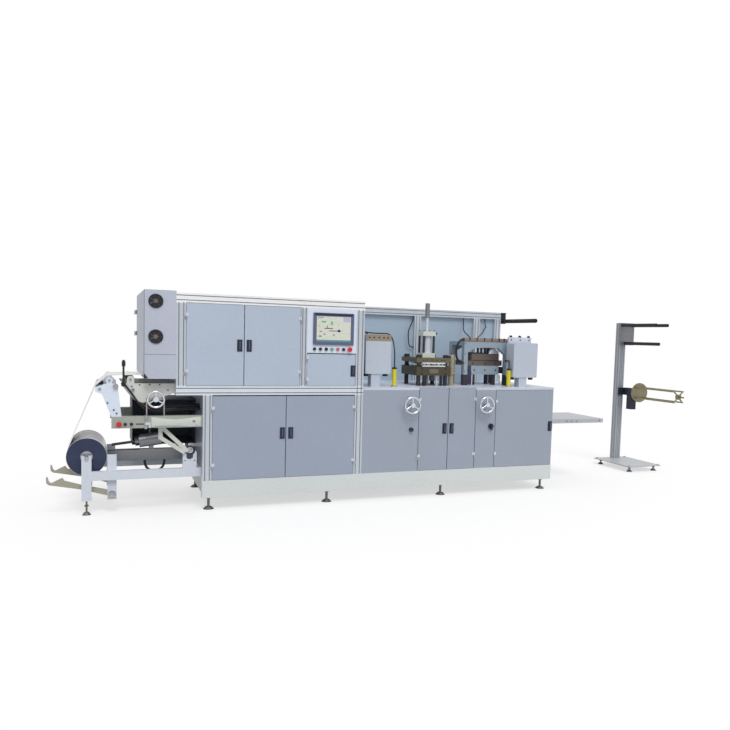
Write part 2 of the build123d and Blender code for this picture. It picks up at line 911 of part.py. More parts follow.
def forming_gantry():
    def frame(y0):
        x1 = gantry_x + gantry_width
        body = block(gantry_x, x1, y0, y0 + gantry_t, gantry_z, gantry_top)
        mid = gantry_x + gantry_width / 2
        half_w = gantry_width / 2 - gantry_leg
        points = [(mid - half_w, gantry_z - 1), (mid + half_w, gantry_z - 1), (mid + half_w, 1416),
                  (mid + half_w - 92, 1492), (mid - half_w + 92, 1492), (mid - half_w, 1442)]
        return body - plate_xz(points, y0 - 1, gantry_t + 2)
    rear_y = gantry_y + forming_depth - gantry_t
    body = frame(gantry_y) + frame(rear_y)
    body += block(gantry_x, gantry_x + gantry_width, gantry_y, gantry_y + forming_depth,
                  gantry_top - 40, gantry_top)
    for x in (gantry_x, gantry_x + gantry_width - gantry_leg):
        for y in (gantry_y, rear_y):
            body += block(x, x + gantry_leg, y, y + gantry_t, deck_top, gantry_z)
    return body


def forming_dies():
    y0 = gantry_y + gantry_t + 4
    y1 = gantry_y + forming_depth - gantry_t - 4
    x0 = gantry_x + gantry_leg + 4
    x1 = gantry_x + gantry_width - gantry_leg - 4
    z = lower_block_z + lower_block_t
    lower = block(die_x, die_x + die_width, y0, y1, lower_block_z, z)
    bolster = block(x0, x1, y0, y1, z, z + bolster_t)
    die = block(die_x, die_x + die_width, y0, y1, z + bolster_t, z + bolster_t + die_t)
    body = lower + bolster + die
    for x in (die_x + 40, die_x + die_width - 40):
        for y in (y0 + 36, y1 - 36):
            body += rod_z(forming_leg_d, x, y, deck_top, lower_block_z)
            body += rod_z(forming_leg_d * 0.6, x, y, z + bolster_t + die_t, gantry_top - 40)
    return body


def output_table():
    x1 = base_length + table_length
    z0 = table_top_z - table_t
    body = block(base_length + 60, x1, table_front_y, table_back_y, z0, table_top_z)
    return body


def table_brackets():
    parts = []
    z0 = table_top_z - table_t - table_bracket
    for y in (table_front_y + 40, table_back_y - 40 - table_bracket):
        upright = block(base_length, base_length + 8, y, y + table_bracket, z0, table_top_z)
        shelf = block(base_length + 8, base_length + 60, y, y + table_bracket,
                      table_top_z - table_t, table_top_z)
        parts.append(upright + shelf)
    return parts


def web_roller(x, z, d, y_tip, y_root):
    body = rod_y(d, x, y_tip + 14, y_root - arm_side, z)
    return body + rod_y(idler_shaft_d, x, y_tip, y_root + 20, z)


def roller_clamp():
    body = block(back_frame_end, web_roller_x + 26, back_y, back_y + clamp_t, web_roller_z - 30,
                 frame_height)
    bore = idler_shaft_d + 2 * wheel_running
    return body - rod_y(bore, web_roller_x, back_y - 1, back_y + clamp_t + 1, web_roller_z)


stand_right = stand_x + stand_width
stand_plate_top = stand_plate_z + stand_plate_t
post_y = stand_back_y - stand_post_d


def stand_base():
    body = block(stand_x, stand_right, stand_front_y, stand_back_y, stand_plate_z, stand_plate_top)
    return body


def stand_feet():
    xs = (stand_x + stand_foot_inset, stand_right - stand_foot_inset)
    ys = (stand_front_y + stand_foot_inset, stand_back_y - stand_foot_inset)
    return [foot_small(x, y, stand_plate_z) for x in xs for y in ys]


def stand_post():
    return block(stand_post_x, stand_post_x + stand_post_d, post_y, stand_back_y,
                 stand_plate_top, stand_top)


head_front_y = post_y - 40
idlers = {
    "rewind_idler_left": (stand_post_x - 10, stand_top - 30),
    "rewind_idler_right": (stand_post_x + stand_post_d + head_w - 20, stand_top - 30),
    "rewind_idler_lower": (stand_post_x + stand_post_d / 2, head_z + 24),
}


def roller_head():
    x0 = stand_post_x - 32
    x1 = stand_post_x + stand_post_d + head_w
    body = block(x0, x1, head_front_y, post_y, head_z, stand_top)
    cut_x = stand_post_x - 32
    for x, z in idlers.values():
        body -= rod_y(idler_shaft_d + 2 * wheel_running, x, head_front_y - 1, post_y + 1, z)
    return body


def rewind_spool():
    disc_y = spool_front_y + spool_length
    body = rod_y(spool_disc_d, spool_x, disc_y, disc_y + spool_disc_t, spool_z)
    hub = rod_y(64, spool_x, spool_front_y, spool_front_y + 36, spool_z)
    body += hub + rod_y(18, spool_x, spool_front_y - 70, spool_front_y, spool_z)
    r = spool_disc_d / 2 - 32
    for i in range(4):
        a = radians(45 + 90 * i)
        x = spool_x + r * cos(a)
        z = spool_z + r * sin(a)
        body += rod_y(spool_rod_d, x, spool_front_y + 9, disc_y, z)
        spoke = rod_x(spool_rod_d, 0, r, 0, 0)
        body += Pos(spool_x, spool_front_y + 18, spool_z) * Rot(0, -(45 + 90 * i), 0) * spoke
    body += rod_y(30, spool_x, disc_y + spool_disc_t, disc_y + spool_disc_t + 60, spool_z)
    return body


def rewind_drive():
    disc_y = spool_front_y + spool_length + spool_disc_t
    y0 = disc_y + 12
    g = gearbox_w / 2
    body = block(spool_x - g, spool_x + g, y0, post_y, spool_z - g, spool_z + g)
    body -= rod_y(30 + 2 * wheel_running, spool_x, y0 - 1, y0 + 60, spool_z)
    body += block(stand_post_x, spool_x - g, post_y - 20, post_y, spool_z - g, spool_z + g)
    m = motor_w / 2
    mid = (y0 + post_y) / 2
    body += block(spool_x - m, spool_x + m, mid - m, mid + m, spool_z - g - motor_h, spool_z - g)
    return body


def build_nodes():
    nodes = {}
    nodes["base_plinth"] = plinth()
    nodes["leveling_feet"] = feet() + unwind_feet() + stand_feet()
    nodes["front_frame"] = front_frame()
    nodes["back_frame"] = back_frame()
    nodes["cross_beams"] = cross_beams()
    nodes["cabinet_panels"] = lower_panels() + upper_panels() + back_panels()
    nodes["right_cabinet"] = right_cabinet()
    nodes["deck_plate"] = deck_plate()
    nodes["front_panels"] = front_panels() + [hmi_panel()]
    nodes["touch_screen"] = touch_screen()
    nodes["control_buttons"] = control_buttons()
    nodes["emergency_stops"] = emergency_stops()
    nodes["heater_box"] = heater_box()
    nodes["fan_guards"] = fan_guards()
    nodes["unwind_frame"] = unwind_frame()
    nodes["infeed_beams"] = infeed_beams()
    nodes["guide_towers"] = [tower(tower_front_y), tower(tower_rear_y)]
    nodes["side_plates"] = [side_plate(side_plate_front_y), side_plate(side_plate_rear_y)]
    nodes["feed_housing"] = feed_housing()
    nodes["wheel_bracket"] = wheel_bracket()
    nodes["lift_drive"] = lift_drive()
    nodes["diagonal_braces"] = diagonal_braces()
    nodes["station_covers"] = [c + p for c, p in zip(station_covers(), station_pillars())]
    nodes["safety_tubes"] = safety_tubes()
    nodes["press_frame"] = press_frame()
    nodes["press_cylinder"] = press_cylinder()
    nodes["forming_gantry"] = forming_gantry()
    nodes["forming_dies"] = forming_dies()
    table = output_table()
    for bracket in table_brackets():
        table += bracket
    nodes["output_table"] = table
    nodes["roller_clamps"] = [roller_clamp(), roller_head()]
    nodes["rewind_stand"] = stand_base() + stand_post()
    nodes["rewind_drive"] = rewind_drive()
    nodes["door_hinges"] = door_hinges()
    for name, spec in door_table.items():
        nodes[name] = door(spec)
    nodes["handwheel_left"] = handwheel(wheel_one_x, 0, wheel_one_z, wheel_d, wheel_out, 15)
    nodes["handwheel_right"] = handwheel(wheel_two_x, 0, wheel_two_z, wheel_d, wheel_out, 15)
    nodes["infeed_handwheel"] = handwheel(infeed_wheel_x, 36, infeed_wheel_z, infeed_wheel_d, 46, 56)
    nodes["panel_knob"] = panel_knob()
    nodes["switch_knob"] = switch_knob()
    nodes["lift_arms"] = lift_arms()
    nodes["film_roll"] = film_roll()
    nodes["roll_shaft"] = roll_shaft()
    nodes["guide_roller"] = guide_roller(guide_x, guide_z, guide_d)
    nodes["guide_roller_top"] = guide_roller(guide_two_x, guide_two_z, guide_two_d)
    nodes["entry_roller"] = entry_roller()
    nodes["press_platen"] = press_platen()
    y_tip = back_y - web_roller_length
    nodes["web_roller"] = web_roller(web_roller_x, web_roller_z, web_roller_d, y_tip, back_y)
    for name, spot in idlers.items():
        nodes[name] = web_roller(spot[0], spot[1], idler_d, head_front_y - idler_length, head_front_y)
    nodes["rewind_spool"] = rewind_spool()
    return nodes


left_end = arm_pivot_x - 510
right_end = max(stand_right, spool_x + spool_disc_d / 2)
front_end = -wheel_out - wheel_rim_d / 2 - 5
middle_x = (left_end + right_end) / 2
middle_y = (front_end + heater_depth) / 2


def write_nodes(nodes):
    shift = Pos(-middle_x, -middle_y, 0)
    for name, shape in nodes.items():
        solids = shape if isinstance(shape, list) else [shape]
        moved = Compound(children=[shift * s for s in solids])
        export_step(moved, f"parts/{name}.step")


write_nodes(build_nodes())
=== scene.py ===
from math import atan2, cos, pi, radians, sin

import bmesh
import bpy
from mathutils import Matrix, Vector


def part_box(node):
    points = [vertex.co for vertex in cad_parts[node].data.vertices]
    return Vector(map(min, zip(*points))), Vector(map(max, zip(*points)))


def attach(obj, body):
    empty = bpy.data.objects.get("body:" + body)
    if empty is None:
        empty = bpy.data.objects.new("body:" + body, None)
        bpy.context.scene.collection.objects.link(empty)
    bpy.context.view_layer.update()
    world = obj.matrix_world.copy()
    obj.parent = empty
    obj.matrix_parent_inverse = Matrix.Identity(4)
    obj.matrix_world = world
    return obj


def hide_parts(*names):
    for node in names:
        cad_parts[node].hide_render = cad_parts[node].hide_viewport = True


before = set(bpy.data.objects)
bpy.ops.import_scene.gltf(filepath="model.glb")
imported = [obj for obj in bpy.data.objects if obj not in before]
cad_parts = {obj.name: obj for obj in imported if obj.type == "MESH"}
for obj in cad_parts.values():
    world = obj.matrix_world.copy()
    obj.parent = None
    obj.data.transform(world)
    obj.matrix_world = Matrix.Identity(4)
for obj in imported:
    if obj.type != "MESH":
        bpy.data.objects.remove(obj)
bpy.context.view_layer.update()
print("stage: frame loaded")

# The machine's own frame in millimetres: X = 0 at the base's left end,
# Y = 0 at the front plane, Z = 0 on the floor
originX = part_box("base_plinth")[0].x
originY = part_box("front_frame")[0].y


def mm(x, y, z):
    return Vector((originX + x / 1000, originY + y / 1000, z / 1000))


def srgb(r, g, b):
    def channel(v):
        v = v / 255
        if v <= 0.04045:
            return v / 12.92
        return ((v + 0.055) / 1.055) ** 2.4
    return (channel(r), channel(g), channel(b), 1.0)


# Camera worked out from the photograph's vanishing points
cameraSettings = {
    "place": (-826.2, -6469.6, 1569.3),
    "yaw": -22.72,
    "pitch": 4.19,
    "roll": -1.67,
    "focal": 724.7,
    "centre": (402.7, 391.1),
    "frame": 730,
    "sensor": 36.0,
    "clipEnd": 60,
}


def makeCamera(s):
    data = bpy.data.cameras.new("photo_camera")
    cam = bpy.data.objects.new("photo_camera", data)
    bpy.context.scene.collection.objects.link(cam)
    yaw, pitch, roll = (radians(s[k]) for k in ("yaw", "pitch", "roll"))
    right = Vector((cos(yaw), sin(yaw), 0))
    forward = Vector((-sin(yaw) * cos(pitch), cos(yaw) * cos(pitch), -sin(pitch)))
    down = forward.cross(right)
    rolledRight = cos(roll) * right + sin(roll) * down
    rolledDown = -sin(roll) * right + cos(roll) * down
    turn = Matrix((rolledRight, -rolledDown, -forward)).transposed()
    cam.matrix_world = Matrix.Translation(mm(*s["place"])) @ turn.to_4x4()
    data.sensor_width = s["sensor"]
    data.lens = s["focal"] * s["sensor"] / s["frame"]
    data.shift_x = 0.5 - s["centre"][0] / s["frame"]
    data.shift_y = s["centre"][1] / s["frame"] - 0.5
    data.clip_end = s["clipEnd"]
    bpy.context.scene.camera = cam


makeCamera(cameraSettings)
print("stage: camera")


# Cables and hoses: diameter in millimetres, length in metres and the points of
# the route in millimetres
cordRoutes = {
    "post_cable": (12, 0.658, [
        (1476, 175, 1622), (1521, 175, 1622), (1596, 179, 1609), (1711, 177, 1608), (1798, 175, 1610),
        (1834, 166, 1552), (1846, 152, 1457), (1850, 150, 1397), (1850, 150, 1347), (1850, 150, 1280)]),
    "back_cable": (12, 0.417, [
        (2424, 1046, 1820), (2424, 1046, 1780), (2395, 1028, 1730), (2355, 1020, 1655), (2360, 1022, 1550),
        (2378, 1040, 1490), (2405, 1050, 1470), (2440, 1050, 1470)]),
    "beam_cable_one": (12, 0.804, [
        (3056, 1046, 1820), (3056, 1046, 1770), (3045, 1011, 1730), (3010, 941, 1715), (2960, 856, 1700),
        (2905, 720, 1655), (2870, 590, 1630), (2848, 488, 1602), (2834, 420, 1577), (2834, 364, 1577)]),
    "beam_cable_two": (12, 0.892, [
        (3339, 1046, 1820), (3339, 1046, 1770), (3332, 1011, 1732), (3300, 941, 1720), (3230, 856, 1700),
        (3140, 720, 1655), (3040, 590, 1630), (2955, 488, 1605), (2915, 424, 1577), (2915, 364, 1577)]),
    "loop_cable": (22, 0.377, [
        (2752, 352, 1577), (2690, 352, 1577), (2642, 348, 1537), (2624, 346, 1467), (2624, 346, 1401),
        (2652, 346, 1341), (2710, 346, 1325)]),
    "right_cable": (12, 0.552, [
        (3254, 358, 1577), (3298, 352, 1573), (3326, 334, 1533), (3318, 310, 1468), (3274, 296, 1408),
        (3225, 284, 1375), (3180, 285, 1358), (3160, 245, 1352), (3154, 200, 1358), (3152, 160, 1368),
        (3152, 150, 1342), (3152, 150, 1280)]),
    "air_hose": (16, 0.766, [
        (-640, 92, 1120), (-634, 86, 1108), (-616, 84, 1085), (-585, 86, 1040), (-540, 88, 970),
        (-490, 92, 910), (-429, 130, 877), (-340, 140, 866), (-230, 150, 880), (-110, 150, 885), (0, 150, 885)]),
    "cool_hose": (30, 0.613, [
        (-520, 112, 1010), (-513, 152, 987), (-490, 190, 945), (-440, 202, 902), (-350, 207, 878),
        (-230, 207, 885), (-110, 202, 890), (0, 202, 890)]),
    "warm_hose": (30, 0.664, [
        (-550, 112, 1040), (-541, 162, 1017), (-519, 207, 972), (-464, 237, 925), (-370, 247, 900),
        (-240, 247, 907), (-110, 242, 912), (0, 242, 912)]),
    "low_hose": (22, 0.311, [
        (-455, 420, 405), (-455, 420, 355), (-418, 425, 307), (-368, 426, 293), (-318, 424, 309),
        (-285, 420, 357), (-285, 420, 405)]),
}
copperHoses = ("cool_hose", "warm_hose")
cordDetail = {"round": 4, "along": 12}


def makeCord(name, diameter, length, points):
    data = bpy.data.curves.new(name, "CURVE")
    data.dimensions = "3D"
    data.bevel_depth = diameter / 2000
    data.bevel_resolution = cordDetail["round"]
    data.resolution_u = cordDetail["along"]
    data.use_fill_caps = True
    line = data.splines.new("NURBS")
    line.points.add(len(points) - 1)
    for point, place in zip(line.points, points):
        point.co = (*mm(*place), 1)
    line.order_u = 3
    line.use_endpoint_u = True
    piece = bpy.data.objects.new(name, data)
    bpy.context.scene.collection.objects.link(piece)
    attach(piece, "frame")
    return piece


cords = [makeCord(name, *route) for name, route in cordRoutes.items()]
print("stage: cords")


# Nodes that the materials are built from
def newMaterial(name):
    mat = bpy.data.materials.new(name)
    mat.use_nodes = True
    tree = mat.node_tree
    tree.nodes.clear()
    out = tree.nodes.new("ShaderNodeOutputMaterial")
    shader = tree.nodes.new("ShaderNodeBsdfPrincipled")
    tree.links.new(shader.outputs[0], out.inputs[0])
    return mat, tree, shader


def objectCoords(tree, scale=(1, 1, 1), turn=(0, 0, 0)):
    coords = tree.nodes.new("ShaderNodeTexCoord")
    mapping = tree.nodes.new("ShaderNodeMapping")
    mapping.inputs["Scale"].default_value = scale
    mapping.inputs["Rotation"].default_value = turn
    tree.links.new(coords.outputs["Object"], mapping.inputs[0])
    return mapping.outputs[0]


def noise(tree, vector, scale, detail=3.0, rough=0.55):
    node = tree.nodes.new("ShaderNodeTexNoise")
    node.inputs["Scale"].default_value = scale
    node.inputs["Detail"].default_value = detail
    node.inputs["Roughness"].default_value = rough
    tree.links.new(vector, node.inputs["Vector"])
    return node.outputs[0]


def ramp(tree, value, stops):
    node = tree.nodes.new("ShaderNodeValToRGB")
    band = node.color_ramp
    while len(band.elements) < len(stops):
        band.elements.new(0.5)
    for element, (place, colour) in zip(band.elements, stops):
        element.position = place
        element.color = colour
    tree.links.new(value, node.inputs[0])
    return node.outputs[0]


def levels(tree, value, low, high):
    node = tree.nodes.new("ShaderNodeMapRange")
    node.inputs["To Min"].default_value = low
    node.inputs["To Max"].default_value = high
    tree.links.new(value, node.inputs["Value"])
    return node.outputs[0]


def mixColour(tree, factor, a, b, mode="MIX"):
    node = tree.nodes.new("ShaderNodeMix")
    node.data_type = "RGBA"
    node.blend_type = mode
    for value, socket in ((factor, node.inputs[0]), (a, node.inputs[6]), (b, node.inputs[7])):
        if isinstance(value, (int, float, tuple)):
            socket.default_value = value
        else:
            tree.links.new(value, socket)
    return node.outputs[2]


def maths(tree, kind, a, b=None, clamp=False):
    node = tree.nodes.new("ShaderNodeMath")
    node.operation = kind
    node.use_clamp = clamp
    for value, socket in ((a, node.inputs[0]), (b, node.inputs[1])):
        if value is None:
            continue
        if isinstance(value, (int, float)):
            socket.default_value = value
        else:
            tree.links.new(value, socket)
    return node.outputs[0]


def bump(tree, shader, height, strength, distance):
    node = tree.nodes.new("ShaderNodeBump")
    node.inputs["Strength"].default_value = strength
    node.inputs["Distance"].default_value = distance
    tree.links.new(height, node.inputs["Height"])
    tree.links.new(node.outputs[0], shader.inputs["Normal"])


def shade(colour, factor):
    return tuple(min(1.0, c * factor) for c in colour[:3]) + (1.0,)


plainWhite = (1, 1, 1, 1)
paintPattern = {"broad": 1.7, "fine": 38.0, "peel": 420.0, "depth": 0.0006, "gloss": (-0.05, 0.07)}
brushedPattern = {"broad": 2.3, "cloud": 0.94, "depth": 0.0004, "gloss": (-0.07, 0.09)}
plasticPattern = {"mottle": 60.0, "grain": 900.0, "tones": (0.9, 1.12), "depth": 0.0004, "gloss": (-0.06, 0.08)}


def roughness(tree, shader, value, rough, gloss):
    tree.links.new(levels(tree, value, rough + gloss[0], rough + gloss[1]), shader.inputs["Roughness"])


def paintMaterial(name, colour, rough=0.42, spread=0.05, peel=0.05, metal=0.0, grime=0.06):
    pattern = paintPattern
    mat, tree, shader = newMaterial(name)
    coords = objectCoords(tree)
    broad = noise(tree, coords, pattern["broad"], 2.0)
    colours = ramp(tree, broad, [(0.3, shade(colour, 1 - spread)), (0.7, shade(colour, 1 + spread))])
    fine = noise(tree, coords, pattern["fine"], 4.0)
    dust = ramp(tree, fine, [(0.45, plainWhite), (0.8, shade(plainWhite, 1 - grime))])
    tree.links.new(mixColour(tree, 1.0, colours, dust, "MULTIPLY"), shader.inputs["Base Color"])
    roughness(tree, shader, fine, rough, pattern["gloss"])
    shader.inputs["Metallic"].default_value = metal
    bump(tree, shader, noise(tree, coords, pattern["peel"], 2.0), peel, pattern["depth"])
    return mat


def brushedMaterial(name, colour, rough=0.3, grain=(6, 6, 260), metal=1.0, spread=0.12, line=0.06):
    pattern = brushedPattern
    mat, tree, shader = newMaterial(name)
    streak = noise(tree, objectCoords(tree, grain), 1.0, 5.0, 0.65)
    broad = noise(tree, objectCoords(tree), pattern["broad"], 2.0)
    base = ramp(tree, streak, [(0.25, shade(colour, 1 - spread)), (0.75, shade(colour, 1 + spread))])
    cloud = ramp(tree, broad, [(0.3, shade(plainWhite, pattern["cloud"])), (0.7, plainWhite)])
    tree.links.new(mixColour(tree, 1.0, base, cloud, "MULTIPLY"), shader.inputs["Base Color"])
    roughness(tree, shader, streak, rough, pattern["gloss"])
    shader.inputs["Metallic"].default_value = metal
    bump(tree, shader, streak, line, pattern["depth"])
    return mat


def plasticMaterial(name, colour, rough=0.45, grain=0.08, coat=0.0):
    pattern = plasticPattern
    mat, tree, shader = newMaterial(name)
    coords = objectCoords(tree)
    mottle = noise(tree, coords, pattern["mottle"], 4.0)
    low, high = pattern["tones"]
    colours = ramp(tree, mottle, [(0.3, shade(colour, low)), (0.75, shade(colour, high))])
    tree.links.new(colours, shader.inputs["Base Color"])
    roughness(tree, shader, mottle, rough, pattern["gloss"])
    shader.inputs["Coat Weight"].default_value = coat
    bump(tree, shader, noise(tree, coords, pattern["grain"], 2.0), grain, pattern["depth"])
    return mat


cabinetPaint = paintMaterial("cabinet_paint", srgb(152, 160, 176), 0.4)
whitePaint = paintMaterial("white_paint", srgb(208, 215, 226), 0.38)
creamPaint = paintMaterial("cream_paint", srgb(214, 218, 210), 0.42)
darkPaint = paintMaterial("dark_paint", srgb(78, 84, 98), 0.5)
khakiPaint = paintMaterial("khaki_paint", srgb(160, 152, 126), 0.45, spread=0.08)
motorPaint = paintMaterial("motor_paint", srgb(34, 38, 54), 0.45, spread=0.08, peel=0.3)
purplePaint = paintMaterial("purple_paint", srgb(64, 52, 84), 0.42, spread=0.1, metal=0.2)
filmCream = paintMaterial("film_cream", srgb(240, 240, 234), 0.25, spread=0.01, peel=0.0, grime=0.02)
steelMetal = brushedMaterial("steel_metal", srgb(176, 178, 182), 0.3)
profileMetal = brushedMaterial("profile_metal", srgb(206, 212, 222), 0.34, (5, 240, 5), 0.75)
armMetal = brushedMaterial("arm_metal", srgb(172, 169, 152), 0.45, (60, 8, 60), 0.2, spread=0.1)
chromeMetal = brushedMaterial("chrome_metal", srgb(214, 218, 226), 0.12, (30, 30, 30), spread=0.03, line=0.0)
brassMetal = brushedMaterial("brass_metal", srgb(146, 138, 112), 0.36, (80, 8, 80), 0.7)
bronzeFinish = brushedMaterial("bronze_finish", srgb(124, 112, 104), 0.36, (8, 8, 8), 0.6)
zincFinish = brushedMaterial("zinc_finish", srgb(222, 224, 228), 0.3, (9, 9, 9), 0.4, spread=0.04)
darkSteel = brushedMaterial("dark_steel", srgb(66, 64, 68), 0.4, (9, 9, 9), 0.6)
brightMetal = brushedMaterial("bright_metal", srgb(236, 238, 242), 0.22, (40, 6, 40), 0.5, spread=0.04)
trayMetal = brushedMaterial("tray_metal", srgb(146, 130, 122), 0.48, (60, 9, 9), 0.2, spread=0.08)
blackPlastic = plasticMaterial("black_plastic", srgb(30, 32, 38), 0.42)
blackRubber = plasticMaterial("black_rubber", srgb(26, 26, 30), 0.62, grain=0.2)
screenTints = {
    "cream": (srgb(226, 228, 214), 0.16),
    "green": (srgb(118, 196, 142), 0.2),
    "yellow": (srgb(226, 216, 120), 0.2),
    "grey": (srgb(158, 164, 172), 0.2),
    "teal": (srgb(96, 158, 166), 0.2),
    "lilac": (srgb(196, 194, 220), 0.2),
}
screenGlass = {
    tint: plasticMaterial("screen_" + tint, colour, rough, grain=0.0, coat=0.6)
    for tint, (colour, rough) in screenTints.items()}

# Wound film: fine rings on its ends, a printed band pattern round it
rollSettings = {
    "x": -934,
    "z": 486,
    "edge": 0.1585,
    "core": 0.046,
    "coreColour": srgb(120, 112, 96),
    "rings": 4200.0,
    "face": [(0.2, srgb(30, 36, 62)), (0.9, srgb(66, 80, 116))],
    "bands": 5.6,
    "band": [
        (0.0, srgb(226, 226, 220)), (0.2, srgb(226, 226, 220)), (0.22, srgb(30, 32, 44)), (0.4, srgb(34, 38, 62)),
        (0.42, srgb(186, 60, 58)), (0.54, srgb(186, 60, 58)), (0.56, srgb(222, 222, 216)),
        (0.72, srgb(222, 222, 216)), (0.74, srgb(64, 96, 150)), (0.9, srgb(40, 52, 92)),
        (1.0, srgb(226, 226, 220))],
    "shine": {"Metallic": 0.3, "Roughness": 0.3, "Anisotropic": 0.85},
}


def woundFilm(s):
    mat, tree, shader = newMaterial("wound_film")
    place = objectCoords(tree)
    centre = mm(s["x"], 0, s["z"])
    split = tree.nodes.new("ShaderNodeSeparateXYZ")
    tree.links.new(place, split.inputs[0])
    across = maths(tree, "SUBTRACT", split.outputs[0], centre.x)
    up = maths(tree, "SUBTRACT", split.outputs[2], centre.z)
    square = maths(tree, "ADD", maths(tree, "MULTIPLY", across, across), maths(tree, "MULTIPLY", up, up))
    radius = maths(tree, "SQRT", square)
    rings = maths(tree, "SINE", maths(tree, "MULTIPLY", radius, s["rings"]))
    face = ramp(tree, levels(tree, rings, 0.0, 1.0), s["face"])
    along = maths(tree, "FRACT", maths(tree, "MULTIPLY", split.outputs[1], s["bands"]))
    outside = maths(tree, "GREATER_THAN", radius, s["edge"])
    core = maths(tree, "LESS_THAN", radius, s["core"])
    printed = mixColour(tree, outside, face, ramp(tree, along, s["band"]))
    tree.links.new(mixColour(tree, core, printed, s["coreColour"]), shader.inputs["Base Color"])
    for socket, value in s["shine"].items():
        shader.inputs[socket].default_value = value
    turn = tree.nodes.new("ShaderNodeTangent")
    turn.direction_type = "RADIAL"
    turn.axis = "Y"
    tree.links.new(turn.outputs[0], shader.inputs["Tangent"])
    bump(tree, shader, rings, 0.12, 0.0003)
    return mat


# Nodes with one finish all over; fan_guards and press_cylinder are replaced below
plainNodes = [
    (profileMetal, ["cross_beams"]),
    (cabinetPaint, ["right_cabinet"]),
    (whitePaint, ["deck_plate"]),
    (creamPaint, ["diagonal_braces", "press_cylinder"]),
    (darkPaint, ["feed_housing"]),
    (motorPaint, ["rewind_drive"]),
    (brassMetal, ["rewind_spool"]),
    (armMetal, ["lift_arms"]),
    (woundFilm(rollSettings), ["film_roll"]),
    (steelMetal, ["wheel_bracket", "roll_shaft", "door_hinges"]),
    (chromeMetal, ["handwheel_left", "handwheel_right", "infeed_handwheel", "guide_roller_top"]),
    (blackPlastic, ["panel_knob", "switch_knob", "fan_guards"]),
    (blackRubber, ["guide_roller", "entry_roller", "web_roller", "rewind_idler_left", "rewind_idler_right",
                   "rewind_idler_lower"]),
]
nodeMaterials = {name: material for material, names in plainNodes for name in names}


# Materials whose colour changes from one region of a part to the next:
# each zone is a box in the machine's millimetres
def insideZone(tree, place, low, high):
    a, b = mm(*low), mm(*high)
    offset = tree.nodes.new("ShaderNodeVectorMath")
    offset.operation = "SUBTRACT"
    offset.inputs[1].default_value = (a + b) / 2
    tree.links.new(place, offset.inputs[0])
    size = tree.nodes.new("ShaderNodeVectorMath")
    size.operation = "ABSOLUTE"
    tree.links.new(offset.outputs[0], size.inputs[0])
    room = tree.nodes.new("ShaderNodeVectorMath")
    room.operation = "SUBTRACT"
    room.inputs[0].default_value = (b - a) / 2
    tree.links.new(size.outputs[0], room.inputs[1])
    split = tree.nodes.new("ShaderNodeSeparateXYZ")
    tree.links.new(room.outputs[0], split.inputs[0])
    least = maths(tree, "MINIMUM", split.outputs[0], split.outputs[1])
    return maths(tree, "GREATER_THAN", maths(tree, "MINIMUM", least, split.outputs[2]), 0.0)


def blendValue(tree, factor, a, b):
    node = tree.nodes.new("ShaderNodeMix")
    node.data_type = "FLOAT"
    for value, socket in ((factor, node.inputs[0]), (a, node.inputs[2]), (b, node.inputs[3])):
        if isinstance(value, float):
            socket.default_value = value
        else:
            tree.links.new(value, socket)
    return node.outputs[0]


# Finishes: colour, roughness, metal
finishes = {
    "door": (srgb(164, 175, 193), 0.36, 0.0),
    "cabinet": (srgb(165, 174, 189), 0.38, 0.0),
    "panel": (srgb(232, 241, 255), 0.38, 0.0),
    "box": (srgb(196, 202, 216), 0.4, 0.0),
    "cover": (srgb(198, 206, 220), 0.42, 0.0),
    "back": (srgb(176, 195, 213), 0.34, 0.0),
    "white": (srgb(220, 227, 237), 0.38, 0.0),
    "cream": (srgb(226, 227, 220), 0.42, 0.0),
    "beam": (srgb(176, 180, 170), 0.45, 0.0),
    "cast": (srgb(157, 172, 187), 0.5, 0.1),
    "zinc": (srgb(226, 228, 232), 0.3, 0.35),
    "black": (srgb(26, 28, 36), 0.4, 0.0),
    "navy": (srgb(36, 42, 62), 0.35, 0.0),
    "dark": (srgb(58, 58, 66), 0.45, 0.3),
    "olive": (srgb(112, 106, 84), 0.42, 0.5),
    "oliveDark": (srgb(84, 78, 62), 0.45, 0.5),
    "bronze": (srgb(120, 108, 100), 0.34, 0.6),
    "strip": (srgb(158, 144, 124), 0.5, 0.1),
    "steel": (srgb(190, 190, 190), 0.28, 0.9),
    "bright": (srgb(236, 238, 242), 0.2, 0.5),
    "greySteel": (srgb(142, 144, 148), 0.36, 0.7),
    "khaki": (srgb(168, 160, 132), 0.45, 0.2),
    "yellow": (srgb(226, 212, 44), 0.38, 0.0),
    "red": (srgb(214, 40, 56), 0.3, 0.0),
    "redDull": (srgb(196, 96, 106), 0.35, 0.0),
    "green": (srgb(108, 176, 138), 0.35, 0.0),
    "slate": (srgb(98, 104, 134), 0.34, 0.0),
    "profile": (srgb(206, 212, 220), 0.34, 0.4),
    # topBeamPaintedLight: a lighter copy of the profile colour, painted light on the front frame's top beam
    "topBeamPaintedLight": (srgb(255, 255, 255), 0.34, 0.0),
    # slot: dark lines of painted shade where the profiles' slot grooves are
    "slot": (srgb(112, 118, 128), 0.5, 0.1),
    "seam": (srgb(110, 114, 124), 0.5, 0.0),
    "backProfile": (srgb(210, 217, 225), 0.34, 0.3),
    "head": (srgb(122, 112, 112), 0.4, 0.3),
    "copper": (srgb(128, 84, 64), 0.4, 0.0),
    "foot": (srgb(112, 110, 108), 0.42, 0.5),
    "tableTop": (srgb(194, 197, 202), 0.36, 0.1),
    # midBeamPaintedLight: a lighter copy of the profile colour, painted light on the front frame's middle beam
    "midBeamPaintedLight": (srgb(230, 237, 244), 0.36, 0.2),
    "stand": (srgb(178, 183, 190), 0.38, 0.2),
    "plinth": (srgb(226, 231, 230), 0.45, 0.0),
    # upper: a lighter copy of the door paint for the upper doors and the small door, painted light; beside it the
    # lower doors' darker door paint stands for painted shade
    "upper": (srgb(190, 203, 220), 0.36, 0.0),
}

